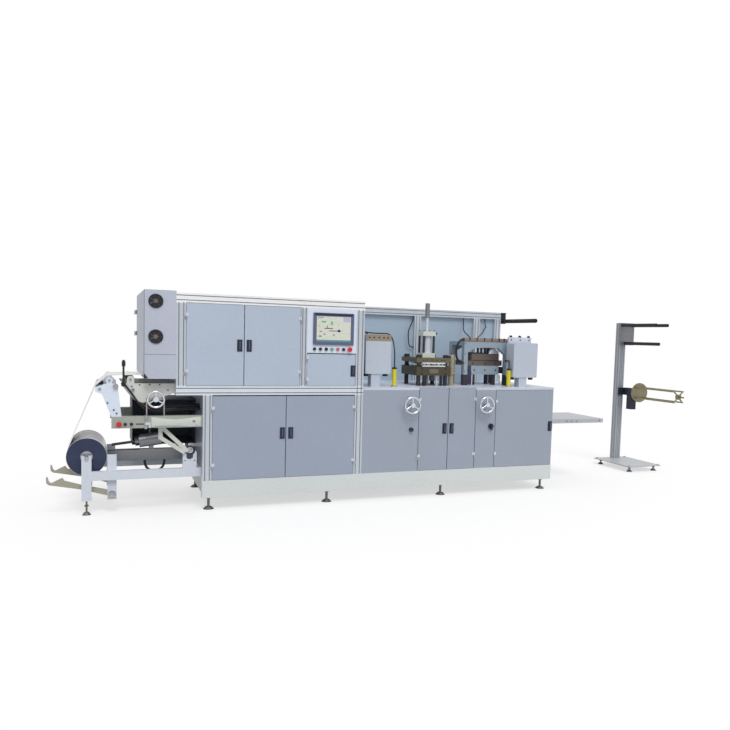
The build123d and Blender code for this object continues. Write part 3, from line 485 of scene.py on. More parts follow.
# Noise over the zones: size of the fine and the broad pattern, how much they
# darken, how much the roughness moves, and the bump of the paint
zonePattern = {
    "fine": 38.0,
    "broad": 1.9,
    "tint": 0.94,
    "cloud": 0.96,
    "gloss": (-0.05, 0.07),
    "peelSize": 420.0,
    "peel": 0.05,
    "depth": 0.0005,
}


def zonedMaterial(name, base, zones):
    pattern = zonePattern
    mat, tree, shader = newMaterial(name)
    place = objectCoords(tree)
    colour, rough, metal = finishes[base]
    for low, high, finish in zones:
        inside = insideZone(tree, place, low, high)
        zoneColour, zoneRough, zoneMetal = finishes[finish]
        colour = mixColour(tree, inside, colour, zoneColour)
        rough = blendValue(tree, inside, rough, zoneRough)
        metal = blendValue(tree, inside, metal, zoneMetal)
    fine = noise(tree, place, pattern["fine"], 4.0)
    broad = noise(tree, place, pattern["broad"], 2.0)
    tint = ramp(tree, fine, [(0.3, shade(plainWhite, pattern["tint"])), (0.7, plainWhite)])
    cloud = ramp(tree, broad, [(0.3, shade(plainWhite, pattern["cloud"])), (0.7, plainWhite)])
    toned = mixColour(tree, 1.0, mixColour(tree, 1.0, colour, tint, "MULTIPLY"), cloud, "MULTIPLY")
    tree.links.new(toned, shader.inputs["Base Color"])
    if isinstance(rough, float):
        roughness(tree, shader, fine, rough, pattern["gloss"])
        shader.inputs["Metallic"].default_value = metal
    else:
        sheen = levels(tree, fine, *pattern["gloss"])
        tree.links.new(maths(tree, "ADD", rough, sheen), shader.inputs["Roughness"])
        tree.links.new(metal, shader.inputs["Metallic"])
    bump(tree, shader, noise(tree, place, pattern["peelSize"], 2.0), pattern["peel"], pattern["depth"])
    return mat


# Doors: the hinges' leaves, then the grip and the line in it, from the handle's centre
doorSettings = {
    "hinges": ((-400, -40, 200), (4000, -0.5, 1900), "zinc"),
    "grip": ((-26, -40, -56), (26, -0.5, 56), "navy"),
    "line": ((-2.5, -40, -34), (2.5, -15.5, 34), "slate"),
    "places": {
        "lower_door_left": ("door", 705, 674),
        "lower_door_right": ("door", 783, 674),
        # the upper doors and the small door take the lighter upper paint: painted light
        "upper_door_left": ("upper", 311, 1461),
        "upper_door_right": ("upper", 394, 1461),
        "small_door": ("upper", 1368, 1246),
        "right_door_left": ("cabinet", 2346, 681),
        "right_door_right": ("cabinet", 2424, 681),
        "end_door": ("cabinet", 3590, 680),
    },
}


def doorMaterial(name, s):
    paint, handleX, handleZ = s["places"][name]
    zones = [s["hinges"]]
    for part in ("grip", "line"):
        low, high, finish = s[part]
        zones.append(((handleX + low[0], low[1], handleZ + low[2]),
                      (handleX + high[0], high[1], handleZ + high[2]), finish))
    return zonedMaterial(name + "_paint", paint, zones)


# Painted shade of the aluminium profiles' slots, drawn as dark lines: the profile's box, the axis
# across its face and, where they aren't the usual ones, the slots' offsets
slotShadeSettings = {
    "half": 4,
    "offsets": (20, 60),
    "front": [
        ((-226, -2, 1820), (1476, 11, 1900), 2),
        ((-226, -2, 1022), (1476, 11, 1102), 2),
        ((-226, -2, 1102), (-146, 11, 1820), 0),
        ((1396, -2, 265), (1476, 11, 1820), 0),
        ((0, -2, 265), (80, 11, 1022), 0),
        ((862, -2, 1102), (922, 11, 1820), 0, (15, 45)),
        ((-2, 0, 265), (11, 80, 1022), 1),
        ((-228, 0, 1022), (-215, 80, 1820), 1)],
    "back": [
        ((1476, 1038, 1820), (3550, 1122, 1900), 2),
        ((2440, 1038, 1090), (2520, 1122, 1820), 0),
        ((3190, 1038, 1090), (3270, 1122, 1820), 0),
        ((3470, 1038, 1090), (3550, 1122, 1820), 0)],
    "stand": [
        ((5416, 1166, 76.5), (5506, 1260, 1846), 0, (22, 45, 68)),
        ((5414, 1168, 76.5), (5508, 1258, 1846), 1, (22, 68))],
}


def slotShadeLines(s, name):
    lines = []
    for low, high, across, *offsets in s[name]:
        for offset in (offsets[0] if offsets else s["offsets"]):
            a, b = list(low), list(high)
            a[across] = low[across] + offset - s["half"]
            b[across] = low[across] + offset + s["half"]
            lines.append((tuple(a), tuple(b), "slot"))
    return lines


zonedNodes = {
    "back_frame": ("backProfile", slotShadeLines(slotShadeSettings, "back")),
    "front_frame": ("profile", [
        # the top and middle beams take lighter copies of the profile colour as painted light
        ((-240, -2, 1814), (1490, 90, 1905), "topBeamPaintedLight"),
        ((-240, -2, 1016), (1490, 90, 1108), "midBeamPaintedLight")] + slotShadeLines(slotShadeSettings, "front")),
    "front_panels": ("cabinet", [((920, -9, 1405), (1400, 30, 1825), "panel")]),
    "cabinet_panels": ("door", [((1470, 1070, 1085), (3500, 1090, 1825), "back")]),
    "heater_box": ("box", [
        ((-490, -1, 1368), (-226, 1, 1372), "seam"),
        ((-488, -1, 1160), (-483, 1, 1918), "seam"),
        ((-488, 60, 1160), (-485, 64, 1918), "seam")]),
    "station_covers": ("cover", [((1500, 90, 1532), (1800, 100.6, 1600), "strip")]),
    "safety_tubes": ("yellow", [((1700, 100, 1264), (3300, 200, 1300), "dark")]),
    "press_frame": ("oliveDark", [
        ((2100, 200, 1326), (2520, 640, 1376.5), "olive"),
        ((2100, 200, 1376.5), (2520, 640, 1410), "black"),
        ((2100, 200, 1080), (2520, 640, 1195.5), "dark")]),
    "press_platen": ("bright", [((2260, 370, 1786), (2364, 470, 1945), "greySteel")]),
    "forming_gantry": ("cast", [((2700, 320, 1080), (3270, 700, 1203), "dark")]),
    "forming_dies": ("bronze", [
        ((2825, 388, 1203), (3175, 640, 1296.5), "cast"),
        ((2825, 388, 1080), (3175, 640, 1202.5), "dark"),
        ((2825, 388, 1425.5), (3175, 640, 1520), "steel")]),
    "lift_drive": ("greySteel", [((-840, 380, 500), (-500, 460, 660), "dark")]),
    "control_buttons": ("black", [
        ((1140, -30, 1428), (1176, 5, 1466), "green"),
        ((1196, -30, 1428), (1232, 5, 1466), "redDull")]),
    "emergency_stops": ("red", [
        ((1300, -17.5, 1420), (1352, 5, 1480), "zinc"),
        ((-710, 2.5, 740), (-650, 25, 800), "dark")]),
    "touch_screen": ("slate", [((986, -20, 1754), (1354, 1, 1774), "navy")]),
    "guide_towers": ("panel", []),
    "side_plates": ("cream", []),
    "unwind_frame": ("white", [
        ((-200, 85, 480), (-110, 99.5, 570), "dark"),
        ((-800, 85, 120), (-660, 139, 215), "greySteel")]),
    "infeed_beams": ("beam", []),
    "roller_clamps": ("greySteel", [((3540, 1030, 1760), (3620, 1080, 1905), "black")]),
    "output_table": ("tableTop", [((3600, 190, 600), (3684.5, 910, 730), "khaki")]),
    "rewind_stand": ("stand", [
        ((5160, 570, 60), (5665, 1262, 76), "tableTop"),
        ((5450, 1100, 1556), (5525, 1262, 1850), "head")] + slotShadeLines(slotShadeSettings, "stand")),
    "base_plinth": ("plinth", []),
    "leveling_feet": ("foot", []),
}
hoseZones = [((-620, 60, 860), (-425, 280, 1120), "copper")]

for nodeName in doorSettings["places"]:
    nodeMaterials[nodeName] = doorMaterial(nodeName, doorSettings)
for nodeName, (base, zones) in zonedNodes.items():
    nodeMaterials[nodeName] = zonedMaterial(nodeName + "_finish", base, zones)
for nodeName, material in nodeMaterials.items():
    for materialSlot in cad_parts[nodeName].material_slots:
        materialSlot.material = material
hoseFinish = zonedMaterial("hose_finish", "black", hoseZones)
for cord in cords:
    cord.data.materials.append(hoseFinish if cord.name in copperHoses else blackRubber)
print("stage: materials")


# Mesh pieces, made of bevelled parts that keep their own finishes
def mergePart(bm, part, slot, soft, segments=2):
    if soft > 0:
        bmesh.ops.bevel(part, geom=part.edges[:], offset=soft / 1000, affect="EDGES", segments=segments,
                        profile=0.5, material=-1)
    bmesh.ops.recalc_face_normals(part, faces=part.faces)
    for face in part.faces:
        face.material_index = slot
    mesh = bpy.data.meshes.new("part")
    part.to_mesh(mesh)
    part.free()
    bm.from_mesh(mesh)
    bpy.data.meshes.remove(mesh)


def addBlock(bm, low, high, slot=0, soft=1.0):
    part = bmesh.new()
    a, b = mm(*low), mm(*high)
    size = b - a
    bmesh.ops.create_cube(part, size=1, matrix=Matrix.Translation((a + b) / 2) @ Matrix.Diagonal((*size, 1)))
    mergePart(bm, part, slot, soft)


rodTurns = {
    "x": Matrix.Rotation(pi / 2, 4, "Y"),
    "y": Matrix.Rotation(-pi / 2, 4, "X"),
    "z": Matrix.Identity(4),
}


def addRod(bm, axis, start, length, diameter, slot=0, soft=0.6, sides=32):
    part = bmesh.new()
    reach = {"x": (length, 0, 0), "y": (0, length, 0), "z": (0, 0, length)}[axis]
    centre = (mm(*start) + mm(*(s + r for s, r in zip(start, reach)))) / 2
    radius = diameter / 2000
    bmesh.ops.create_cone(part, cap_ends=True, segments=sides, radius1=radius, radius2=radius,
                          depth=length / 1000, matrix=Matrix.Translation(centre) @ rodTurns[axis])
    mergePart(bm, part, slot, soft, 1)


def addTurned(bm, axis, centre, profile, slot=0, sides=48):
    part = bmesh.new()
    verts = [part.verts.new((r / 1000, 0, h / 1000)) for r, h in profile]
    edges = [part.edges.new(pair) for pair in zip(verts[:-1], verts[1:])]
    bmesh.ops.spin(part, geom=verts + edges, cent=(0, 0, 0), axis=(0, 0, 1), dvec=(0, 0, 0), angle=2 * pi,
                   steps=sides, use_merge=True)
    bmesh.ops.remove_doubles(part, verts=part.verts, dist=1e-6)
    part.transform(Matrix.Translation(mm(*centre)) @ rodTurns[axis])
    mergePart(bm, part, slot, 0)


def addPrism(bm, points, front, thickness, slot=0, soft=0.8):
    part = bmesh.new()
    ring = [part.verts.new(mm(x, front, z)) for x, z in points]
    face = part.faces.new(ring)
    grown = bmesh.ops.extrude_face_region(part, geom=[face])
    moved = [v for v in grown["geom"] if isinstance(v, bmesh.types.BMVert)]
    bmesh.ops.translate(part, verts=moved, vec=(0, thickness / 1000, 0))
    mergePart(bm, part, slot, soft)


def hexBolt(bm, centre, size, slot=0, socket=None):
    x, y, z = centre
    addRod(bm, "y", (x, y - size * 0.5, z), size * 0.5, size, slot, size * 0.06, 24)
    if socket is not None:
        addRod(bm, "y", (x, y - size * 0.52, z), size * 0.1, size * 0.5, socket, 0, 6)


sharpAngle = 32


def finishPiece(name, bm, materials, body, replaces=()):
    mesh = bpy.data.meshes.new(name)
    bm.to_mesh(mesh)
    bm.free()
    mesh.shade_smooth()
    mesh.set_sharp_from_angle(angle=radians(sharpAngle))
    piece = bpy.data.objects.new(name, mesh)
    bpy.context.scene.collection.objects.link(piece)
    for material in materials:
        mesh.materials.append(material)
    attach(piece, body)
    if replaces:
        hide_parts(*replaces)
    return piece


# A piece's dictionary lists its parts as the arguments of the functions above,
# with the number of the part's finish in the piece's list of materials
partMakers = {"turned": addTurned, "blocks": addBlock, "rods": addRod, "prisms": addPrism, "bolts": hexBolt}


def makePiece(name, s, body="frame"):
    bm = bmesh.new()
    for kind, addPart in partMakers.items():
        for part in s.get(kind, ()):
            addPart(bm, *part)
    finishPiece(name, bm, s["materials"], body)


def circle(centre, radius, count=6):
    turns = [2 * pi * i / count for i in range(count)]
    return [(centre[0] + radius * cos(turn), centre[1] + radius * sin(turn)) for turn in turns]


# Fans behind the two guards of the heater box; blade sizes in millimetres
fanSettings = {
    "x": -393,
    "heights": (1820, 1521),
    "front": -10,
    "rim": [(0, 9.8), (60, 9.8), (60, 2), (58, 0), (53, 0), (51, 2), (51, 7), (0, 7)],
    "wires": (28, 40),
    "wire": [(0, 1), (1.6, 1), (1.6, 2.6), (0, 2.6), (0, 1)],
    "hub": [(0, 1), (17, 1), (19, 3), (19, 7.5)],
    "blades": 7,
    "blade": (31, 1.2, 13),
    "bladeReach": 34,
    "bladeTilt": 20,
    "bladeDepth": -5.4,
}


def makeFans(s):
    bm = bmesh.new()
    for z in s["heights"]:
        centre = (s["x"], s["front"], z)
        addTurned(bm, "y", centre, s["rim"], 0, 56)
        for radius in s["wires"]:
            addTurned(bm, "y", centre, [(radius + r, h) for r, h in s["wire"]], 2, 48)
        addTurned(bm, "y", centre, s["hub"], 1, 32)
        for i in range(s["blades"]):
            blade = bmesh.new()
            size = Matrix.Diagonal((*(v / 1000 for v in s["blade"]), 1))
            bmesh.ops.create_cube(blade, size=1, matrix=size)
            reach = Matrix.Translation((s["bladeReach"] / 1000, 0, 0))
            blade.transform(reach @ Matrix.Rotation(radians(s["bladeTilt"]), 4, "X"))
            turn = Matrix.Rotation(2 * pi * i / s["blades"], 4, "Y")
            blade.transform(Matrix.Translation(mm(s["x"], s["bladeDepth"], z)) @ turn)
            mergePart(bm, blade, 2, 0)
    finishPiece("fans", bm, [blackPlastic, bronzeFinish, darkSteel], "frame", ["fan_guards"])


makeFans(fanSettings)


# Operator screen: glass, a generic process drawing and status blocks, each with
# its low and high corner and the number of its colour
screenSettings = {
    "glass": ((1005.5, -11.6, 1515.5), (1334.5, -10.9, 1748.5)),
    "front": -12,
    "back": -11.5,
    "drawing": [
        ((1051, 1690), (1093, 1706), 1), ((1139, 1668), (1159, 1704), 1), ((1021, 1648), (1041, 1668), 2),
        ((1103, 1640), (1109, 1664), 3), ((1079, 1634), (1161, 1641), 3), ((1121, 1612), (1237, 1618), 3),
        ((1035, 1606), (1059, 1612), 3), ((1207, 1606), (1233, 1626), 3), ((1029, 1560), (1051, 1570), 3),
        ((1071, 1578), (1091, 1590), 4), ((1161, 1570), (1181, 1584), 4), ((1211, 1668), (1223, 1680), 2),
        ((1005.5, 1515.5), (1334.5, 1532), 5), ((1261, 1700), (1327, 1744), 6), ((1015, 1732), (1071, 1742), 4),
    ],
    "colours": ("cream", "green", "yellow", "black", "grey", "teal", "lilac"),
}


def makeScreen(s):
    bm = bmesh.new()
    addBlock(bm, *s["glass"], 0, 0)
    for (x0, z0), (x1, z1), colour in s["drawing"]:
        addBlock(bm, (x0, s["front"], z0), (x1, s["back"], z1), colour, 0)
    materials = [screenGlass.get(tint, blackPlastic) for tint in s["colours"]]
    finishPiece("screen_face", bm, materials, "frame")


makeScreen(screenSettings)


# Rings of the panel's controls, the buttons' domes and the selector's lever
controlSettings = {
    "xs": (990, 1046, 1102, 1158, 1214, 1270),
    "z": 1446,
    "ring": [(15.2, 0), (17, 0), (17, -4), (15.6, -6), (15.2, -6)],
    "domed": (0, 1, 5),
    "dome": [(0, -1.5), (9, -1.5), (12, 0)],
    "domeFront": -14,
    "selector": 2,
    "lever": [(-9, -13), (-3, -15), (10, 12), (4, 15)],
    "leverFront": -21,
    "leverDepth": 7,
}


def makeControls(s):
    bm = bmesh.new()
    for i, x in enumerate(s["xs"]):
        addTurned(bm, "y", (x, 0, s["z"]), s["ring"], 0, 36)
        if i in s["domed"]:
            addTurned(bm, "y", (x, s["domeFront"], s["z"]), s["dome"], 1, 32)
        elif i == s["selector"]:
            lever = [(x + dx, s["z"] + dz) for dx, dz in s["lever"]]
            addPrism(bm, lever, s["leverFront"], s["leverDepth"], 1, 1.2)
    finishPiece("control_rings", bm, [zincFinish, blackPlastic], "frame")


makeControls(controlSettings)
print("stage: fans, screen and controls")

# Control beam: embossed cover, its lock, the hanging clamp and a cable guide
beamSettings = {
    "materials": [creamPaint, steelMetal, blackPlastic, zincFinish],
    "slot": "cream_paint",
    "prisms": [([(-424, 836), (-344, 822), (-221, 811), (-110, 822), (-14, 833), (-14, 751), (-110, 747),
                 (-221, 757), (-344, 759), (-424, 748)], 15.5, 4.8, 0, 1.6)],
    "blocks": [
        ((-546, 18.6, 772), (-484, 20.4, 781), 2, 0.3),
        ((-478, 8, 838), (-452, 80, 850), 1, 1),
        ((-478, 6, 735), (-458, 20, 850), 1, 1.2),
        ((-446, 8, 740), (-430, 20, 790), 3, 1.5)],
    "turned": [("y", (-73, 15, 792), [(0, -1), (9, -1), (15, 0), (17, 1.2)], 1, 32)],
    "rods": [
        ("y", (-73, 12, 792), 3, 10, 2, 0.3),
        ("y", (-458, -4, 780), 16, 26, 3, 1.2),
        ("z", (-437, 12, 700), 44, 16, 2, 1)],
    "bolts": [((-468, 6, z), 9, 2) for z in (812, 762)] + [((x, 15.5, 760), 7, 1) for x in (-390, -52)],
}
makePiece("beam_fittings", beamSettings)

# Bolts of the side plate and the front tower, and the air valve on its post
plateBolts = [(-578, 1093), (-515, 1106), (-434, 1106), (-353, 1106), (-284, 1060), (-568, 1064)]
towerBolts = [(-708, 1098), (-722, 900), (-700, 870), (-770, 960)]
fastenerSettings = {
    "materials": [steelMetal, blackPlastic],
    "slot": "steel",
    "bolts": [((x, 100, z), 12, 1) for x, z in plateBolts] + [((-568, 100, 1064), 26, 0, 1)]
    + [((x, 20, z), 13, 1) for x, z in towerBolts],
    "turned": [("y", (-708, 20, 1098), [(0, -22), (18, -22), (22, -18), (22, 0)], 0, 32)],
    "rods": [("z", (-644, 92, 1116), 148, 17, 1, 1), ("z", (-643, 106, 1306), 10, 20, 1, 1.5)],
    "blocks": [
        ((-662, 88, 1092), (-626, 99.8, 1124), 1, 2),
        ((-658, 89, 1262), (-628, 123, 1306), 1, 3)],
}
makePiece("infeed_fasteners", fastenerSettings)

# End caps that turn with the infeed's rollers
rollerEnds = {
    "profile": [(0, -9), (7, -9), (8, -7), (8, -2), (11, -2), (11, 0)],
    "places": {
        "guide_roller": (-832, 17, 1075),
        "guide_roller_top": (-757, 17, 1148),
        "entry_roller": (-588, 97, 1150),
    },
}
for body, place in rollerEnds["places"].items():
    cap = {"materials": [steelMetal], "slot": "steel", "turned": [("y", place, rollerEnds["profile"], 0, 32)]}
    makePiece(body + "_end", cap, body)

# Bearing plate of the lift and the pivots of its arms
bearingSettings = {
    "materials": [steelMetal, blackPlastic],
    "slot": "steel",
    "turned": [
        ("y", (-96, 94, 528), [(29, 6), (41, 6), (43, 4), (43, -4), (39, -7), (32, -7), (29, -4), (29, 6)], 1, 48),
        ("y", (-96, 96, 528), [(0, 2), (12, 2), (18, 6), (28.8, 6)], 0, 36),
        ("y", (-734, 97, 160), [(0, -4), (18, -4), (26, 0), (31, 0), (33, 3), (33, 8)], 0, 40)],
    "bolts": [((x, 100, z), 9, 1) for x in (-138, -54) for z in (564, 436)]
    + [((x, 96, z), 6, 1) for x, z in circle((-734, 160), 22)],
}
makePiece("bearings", bearingSettings)

# Heater box: latches on its left side, screws and the dark gusset at its foot
heaterSettings = {
    "materials": [steelMetal, zincFinish, blackPlastic],
    "slot": "steel",
    "blocks": [((-511, 1219, z - 22), (-487, 1253, z + 22), 0, 5) for z in (1749, 1541)]
    + [((-513, 1228, z - 30), (-507, 1244, z + 12), 1, 2) for z in (1749, 1541)],
    "prisms": [([(-486, 1166), (-452, 1166), (-486, 1212)], -2.2, 2, 2, 0.4)],
    "bolts": [((x, 0, z), 7, 1) for x in (-470, -246) for z in (1200, 1440, 1660, 1890)],
}
makePiece("heater_fittings", heaterSettings)
print("stage: infeed and heater fittings")

# Press cylinder: half widths of its caps, their hole and the tube, then place,
# width and height of the tie rods and nuts, and height and width of the ports
cylinderSettings = {
    "axis": (2312, 420),
    "cap": 70,
    "hole": 22,
    "tube": 49,
    "caps": ((1376, 1422), (1598, 1646)),
    "tieRods": (56, 24),
    "nuts": (57, 20, 9),
    "ports": ((1626, 24), (1402, 18)),
    "portOffset": -40,
}


def makePressCylinder(s):
    bm = bmesh.new()
    x, y = s["axis"]
    cap, hole, tube = s["cap"], s["hole"], s["tube"]
    sides = (((-cap, -cap), (cap, -hole)), ((-cap, hole), (cap, cap)),
             ((-cap, -hole), (-hole, hole)), ((hole, -hole), (cap, hole)))
    for z0, z1 in s["caps"]:
        for low, high in sides:
            addBlock(bm, (x + low[0], y + low[1], z0), (x + high[0], y + high[1], z1), 0, 0)
    low, high, top = s["caps"][0][1], s["caps"][1][0], s["caps"][1][1]
    wall = [(hole, 0), (tube, 0), (tube, high - low), (hole, high - low), (hole, 0)]
    addTurned(bm, "z", (x, y, low), wall, 1, 64)
    rodPlace, rodWidth = s["tieRods"]
    nutPlace, nutWidth, nutHeight = s["nuts"]
    for i in (-1, 1):
        for j in (-1, 1):
            addRod(bm, "z", (x + i * rodPlace, y + j * rodPlace, low), high - low, rodWidth, 2, 0.5)
            addRod(bm, "z", (x + i * nutPlace, y + j * nutPlace, top), nutHeight, nutWidth, 3, 1, 6)
    for z, width in s["ports"]:
        addRod(bm, "x", (x + cap, y + s["portOffset"], z), width, width, 3, 2)
    finishPiece("press_cylinder_body", bm, [creamPaint, whitePaint, darkSteel, blackPlastic], "frame",
                ["press_cylinder"])


makePressCylinder(cylinderSettings)

# Press: collars on its posts, clamps on the head plate, heaters and tooling
postPlaces = [(x, y) for x in (2161, 2463) for y in (264, 576)]
dotPlaces = (2196, 2232, 2290, 2345, 2398, 2430)
pressSettings = {
    "materials": [blackPlastic, darkSteel, brightMetal, bronzeFinish],
    "slot": "olive_steel",
    "turned": [("z", (x, y, 1376), [(22.3, 0.2), (31, 0.2), (31, 16), (27, 30), (0, 32)], 0, 36)
               for x, y in postPlaces]
    + [("z", (x, y, 1286), [(22.3, 0.2), (28, 0.2), (28, 9), (22.3, 11)], 1, 36) for x, y in postPlaces],
    "blocks": [((x, 223, 1376.2), (x + 40, 238, 1392), 0, 2.5) for x in (2121, 2463)] + [
        ((2184, 222, 1286.2), (2442, 238, 1298), 2, 1.6),
        ((2184, 222, 1316), (2442, 238, 1329.8), 2, 1.6),
        ((2262, 216, 1218), (2362, 220.5, 1262), 3, 1.2),
        ((2198, 226, 1092), (2226, 254, 1195.5), 0, 3),
        ((2280, 226, 1140), (2330, 262, 1195.5), 1, 4),
        ((2392, 226, 1092), (2416, 254, 1195.5), 0, 3)],
    "rods": [("x", (x, 231, 1396), 44, 9, 0, 1.5) for x in (2119, 2461)]
    + [("z", (x, 229, 1286.2), 43.6, 12, 1, 0.6, 20) for x in dotPlaces]
    + [("y", (x, 216, 1352), 4.5, 13, 0, 1) for x in dotPlaces]
    + [("z", (2254, 262, 1092), 103, 30, 3, 2), ("z", (2366, 262, 1092), 103, 22, 2, 2)],
    "bolts": [((x, 220, z), 15, 0) for x in (2180, 2444) for z in (1214, 1266)],
}
makePiece("press_fittings", pressSettings)

# Guide post beside the press, with its flange and six screws
guideSettings = {
    "materials": [khakiPaint, darkSteel],
    "slot": "olive_steel",
    "turned": [("z", (2548, 300, 1090), [
        (0, 0.2), (36, 0.2), (36, 14), (29, 18), (29, 120), (47, 122), (47, 138), (29, 142), (29, 178),
        (31.5, 180), (31.5, 186), (29, 188), (29, 236), (31.5, 238), (31.5, 244), (29, 246), (29, 314),
        (24, 322), (0, 322)], 0, 48)],
    "rods": [("z", (x, y, 1228), 7, 10, 1, 0.8, 6) for x, y in circle((2548, 300), 39)]
    + [("z", (2548, 300, 1412), 14, 16, 1, 1.5)],
}
makePiece("guide_post", guideSettings)

# Forming station: cable tray, guard wedge with a painted reflection, chase plates, bolts and the motor box
plungerXs = (2925, 2967, 3010, 3050)
formingSettings = {
    "materials": [trayMetal, blackPlastic, brightMetal, darkSteel, purplePaint],
    "slot": "steel",
    "blocks": [
        ((2712, 334, 1551.2), (3252, 392, 1555.2), 0, 0.8),
        ((2712, 334, 1551.2), (3252, 338, 1592), 0, 0.8),
        ((2712, 388, 1551.2), (3252, 392, 1592), 0, 0.8),
        ((2842, 396, 1425.4), (3036, 560, 1436), 3, 2),
        ((2766, 388, 1350), (3200, 396, 1357), 3, 1),
        ((2768, 372, 1100), (2826, 470, 1236), 4, 6),
        ((3172, 372, 1216), (3208, 408, 1288), 1, 3)]
    + [((x - 7, 332, 1562), (x + 7, 339, 1595), 1, 1.5) for x in (2774, 2860, 2950, 3040, 3130, 3190)],
    # the wedge's bright metal is partly the chamfered cover's own steel and partly a painted reflection on it
    "prisms": [([(3040, 1425.4), (3158, 1425.4), (3164, 1448), (3112, 1484), (3080, 1487), (3054, 1460)],
                396, 26, 2, 2.5)],
    "rods": [
        ("z", (2797, 421, 1236), 20, 40, 1, 3),
        ("z", (2846, 400, 1092), 110, 16, 2, 1),
        ("z", (3186, 400, 1092), 110, 16, 2, 1)]
    + [("z", (x, 430, 1436), 36, 22, 1, 2) for x in plungerXs]
    + [("z", (x, 430, 1472), 14, 32, 1, 3, 6) for x in plungerXs],
    "bolts": [((x, 393.5, 1322), 14, 1) for x in (2774, 2850, 3000, 3124, 3190)]
    + [((x, 393.5, 1250), 14, 3) for x in (2870, 2998, 3128)]
    + [((x, 330, z), 9, 1) for x in (2722, 3242) for z in (1240, 1330, 1420, 1530)],
}
makePiece("forming_fittings", formingSettings)

# Station covers: screws, strip holes as dark discs of painted shade, glands, head plate and the tubes' feet
screwPlaces = [(1545, 1230), (1775, 1230), (3192, 1204), (3450, 1204), (3192, 1536), (3450, 1536)]
headXs = (3212, 3322, 3432)
tubeXs = (1850, 3152)
glandPlaces = [(1557, 1189), (1763, 1189), (3207, 1162), (3435, 1162)]
coverSettings = {
    "materials": [steelMetal, blackPlastic, whitePaint],
    "slot": "black_plastic",
    "blocks": [((3180, 226, 1553.2), (3462, 249, 1612), 2, 2)],
    "bolts": [((x, 100, z), 7, 0) for x, z in screwPlaces] + [((x, 226, 1584), 13, 1) for x in headXs],
    # the dark discs on the strip are the holes' painted shade
    "rods": [("y", (x, 98.6, 1566), 1.8, 17, 1, 0.4) for x in (1566, 1612, 1664, 1712, 1754)]
    + [("z", (1560, 175, 1597), 12, 22, 1, 2)],
    "turned": [("z", (x, 175, z), [(0, 0), (22, 0), (26, 6), (26, 20), (23, 25.5), (0, 25.5)], 1, 36)
               for x, z in glandPlaces]
    + [("z", (x, 238, 1612), [(0, 20), (9, 18), (15, 12), (17, 4), (17, 0.1)], 1, 32) for x in headXs]
    + [("z", (x, 150, 1262), [(22.2, 0), (24.5, 2), (24.5, 9), (22.2, 11)], 1, 36) for x in tubeXs]
    + [("z", (x, 150, 1090), [(22.2, 10), (31, 8), (33, 3), (33, 0.2)], 0, 36) for x in tubeXs],
}
makePiece("cover_fittings", coverSettings)
print("stage: station fittings")

# Rewinder: roller and head bolts, the base's nuts and the web roller's clamp cap
standSettings = {
    "materials": [blackPlastic, steelMetal],
    "slot": "steel",
    "blocks": [((3553, 1020, 1888), (3612, 1040, 1898), 0, 2)],
    "bolts": [((x, 1128, z), 16, 1, 0) for x, z in ((5400, 1590), (5406, 1800), (5582, 1800), (5462, 1584))]
    + [((x, 1168, z), 9, 1) for x in (5427, 5495) for z in (1592, 1640, 1700, 1790)],
    "rods": [("z", (x, y, 75.2), 9, 22, 1, 1.5, 6) for x in (5190, 5635) for y in (606, 1232)],
}
makePiece("stand_fittings", standSettings)

# Outfeed table: edge bolts, screws in its top and the bracket under it
tableSettings = {
    "materials": [steelMetal, blackPlastic, khakiPaint],
    "slot": "steel",
    "bolts": [((x, 200, 702), 11, 1) for x in (3740, 3950, 4014, 4080, 4390)],
    "rods": [("z", (x, y, 723.6), 1.6, 14, 0, 0.4, 24) for x in (3710, 4414) for y in (226, 844)],
    "prisms": [([(3626, 612), (3766, 612), (3766, 678.8), (3738, 678.8), (3738, 630), (3626, 630)],
                206, 60, 2, 2)],
}
makePiece("table_fittings", tableSettings)

# Film from the roll over the guides into the heater, a taut sheet: the circles'
# x, z and radius in millimetres, the flat size in metres
filmSettings = {
    "circles": [(-934, 486, 160.8), (-832, 1075, 33.8), (-757, 1148, 29.8), (-588, 1150, 33.8)],
    "end": (-488, 1183.8),
    "front": 181,
    "back": 721,
    "thickness": 0.5,
    "turnStep": 9,
    "flat": (0.54, 0.995),
}


def filmRoute(s):
    circles = s["circles"]
    normals = []
    for (xa, za, ra), (xb, zb, rb) in zip(circles[:-1], circles[1:]):
        reach = Vector((xb - xa, zb - za))
        along = reach.normalized()
        lean = (ra - rb) / reach.length
        normals.append(along * lean + Vector((-along.y, along.x)) * (1 - lean * lean) ** 0.5)
    normals.append(Vector((0, 1)))
    leaving = [atan2(normal.y, normal.x) for normal in normals]
    points = []
    for i, (x, z, r) in enumerate(circles):
        last = leaving[i]
        first = leaving[i - 1] if i else last
        steps = max(1, round((first - last) / radians(s["turnStep"]))) if i else 0
        for k in range(steps + 1):
            turn = first + (last - first) * k / max(1, steps)
            points.append((x + r * cos(turn), z + r * sin(turn), cos(turn), sin(turn)))
    points.append((*s["end"], 0, 1))
    return points


def makeFilm(s):
    bm = bmesh.new()
    half = s["thickness"] / 2
    loops = []
    for x, z, nx, nz in filmRoute(s):
        corners = [(x + nx * half, s["front"], z + nz * half), (x + nx * half, s["back"], z + nz * half),
                   (x - nx * half, s["back"], z - nz * half), (x - nx * half, s["front"], z - nz * half)]
        loops.append([bm.verts.new(mm(*corner)) for corner in corners])
    for a, b in zip(loops[:-1], loops[1:]):
        for k in range(4):
            bm.faces.new((a[k], a[(k + 1) % 4], b[(k + 1) % 4], b[k]))
    bm.faces.new(loops[0])
    bm.faces.new(loops[-1][::-1])
    bmesh.ops.recalc_face_normals(bm, faces=bm.faces)
    film = finishPiece("film_sheet", bm, [filmCream], "frame")


makeFilm(filmSettings)
print("stage: rewinder, table and film")

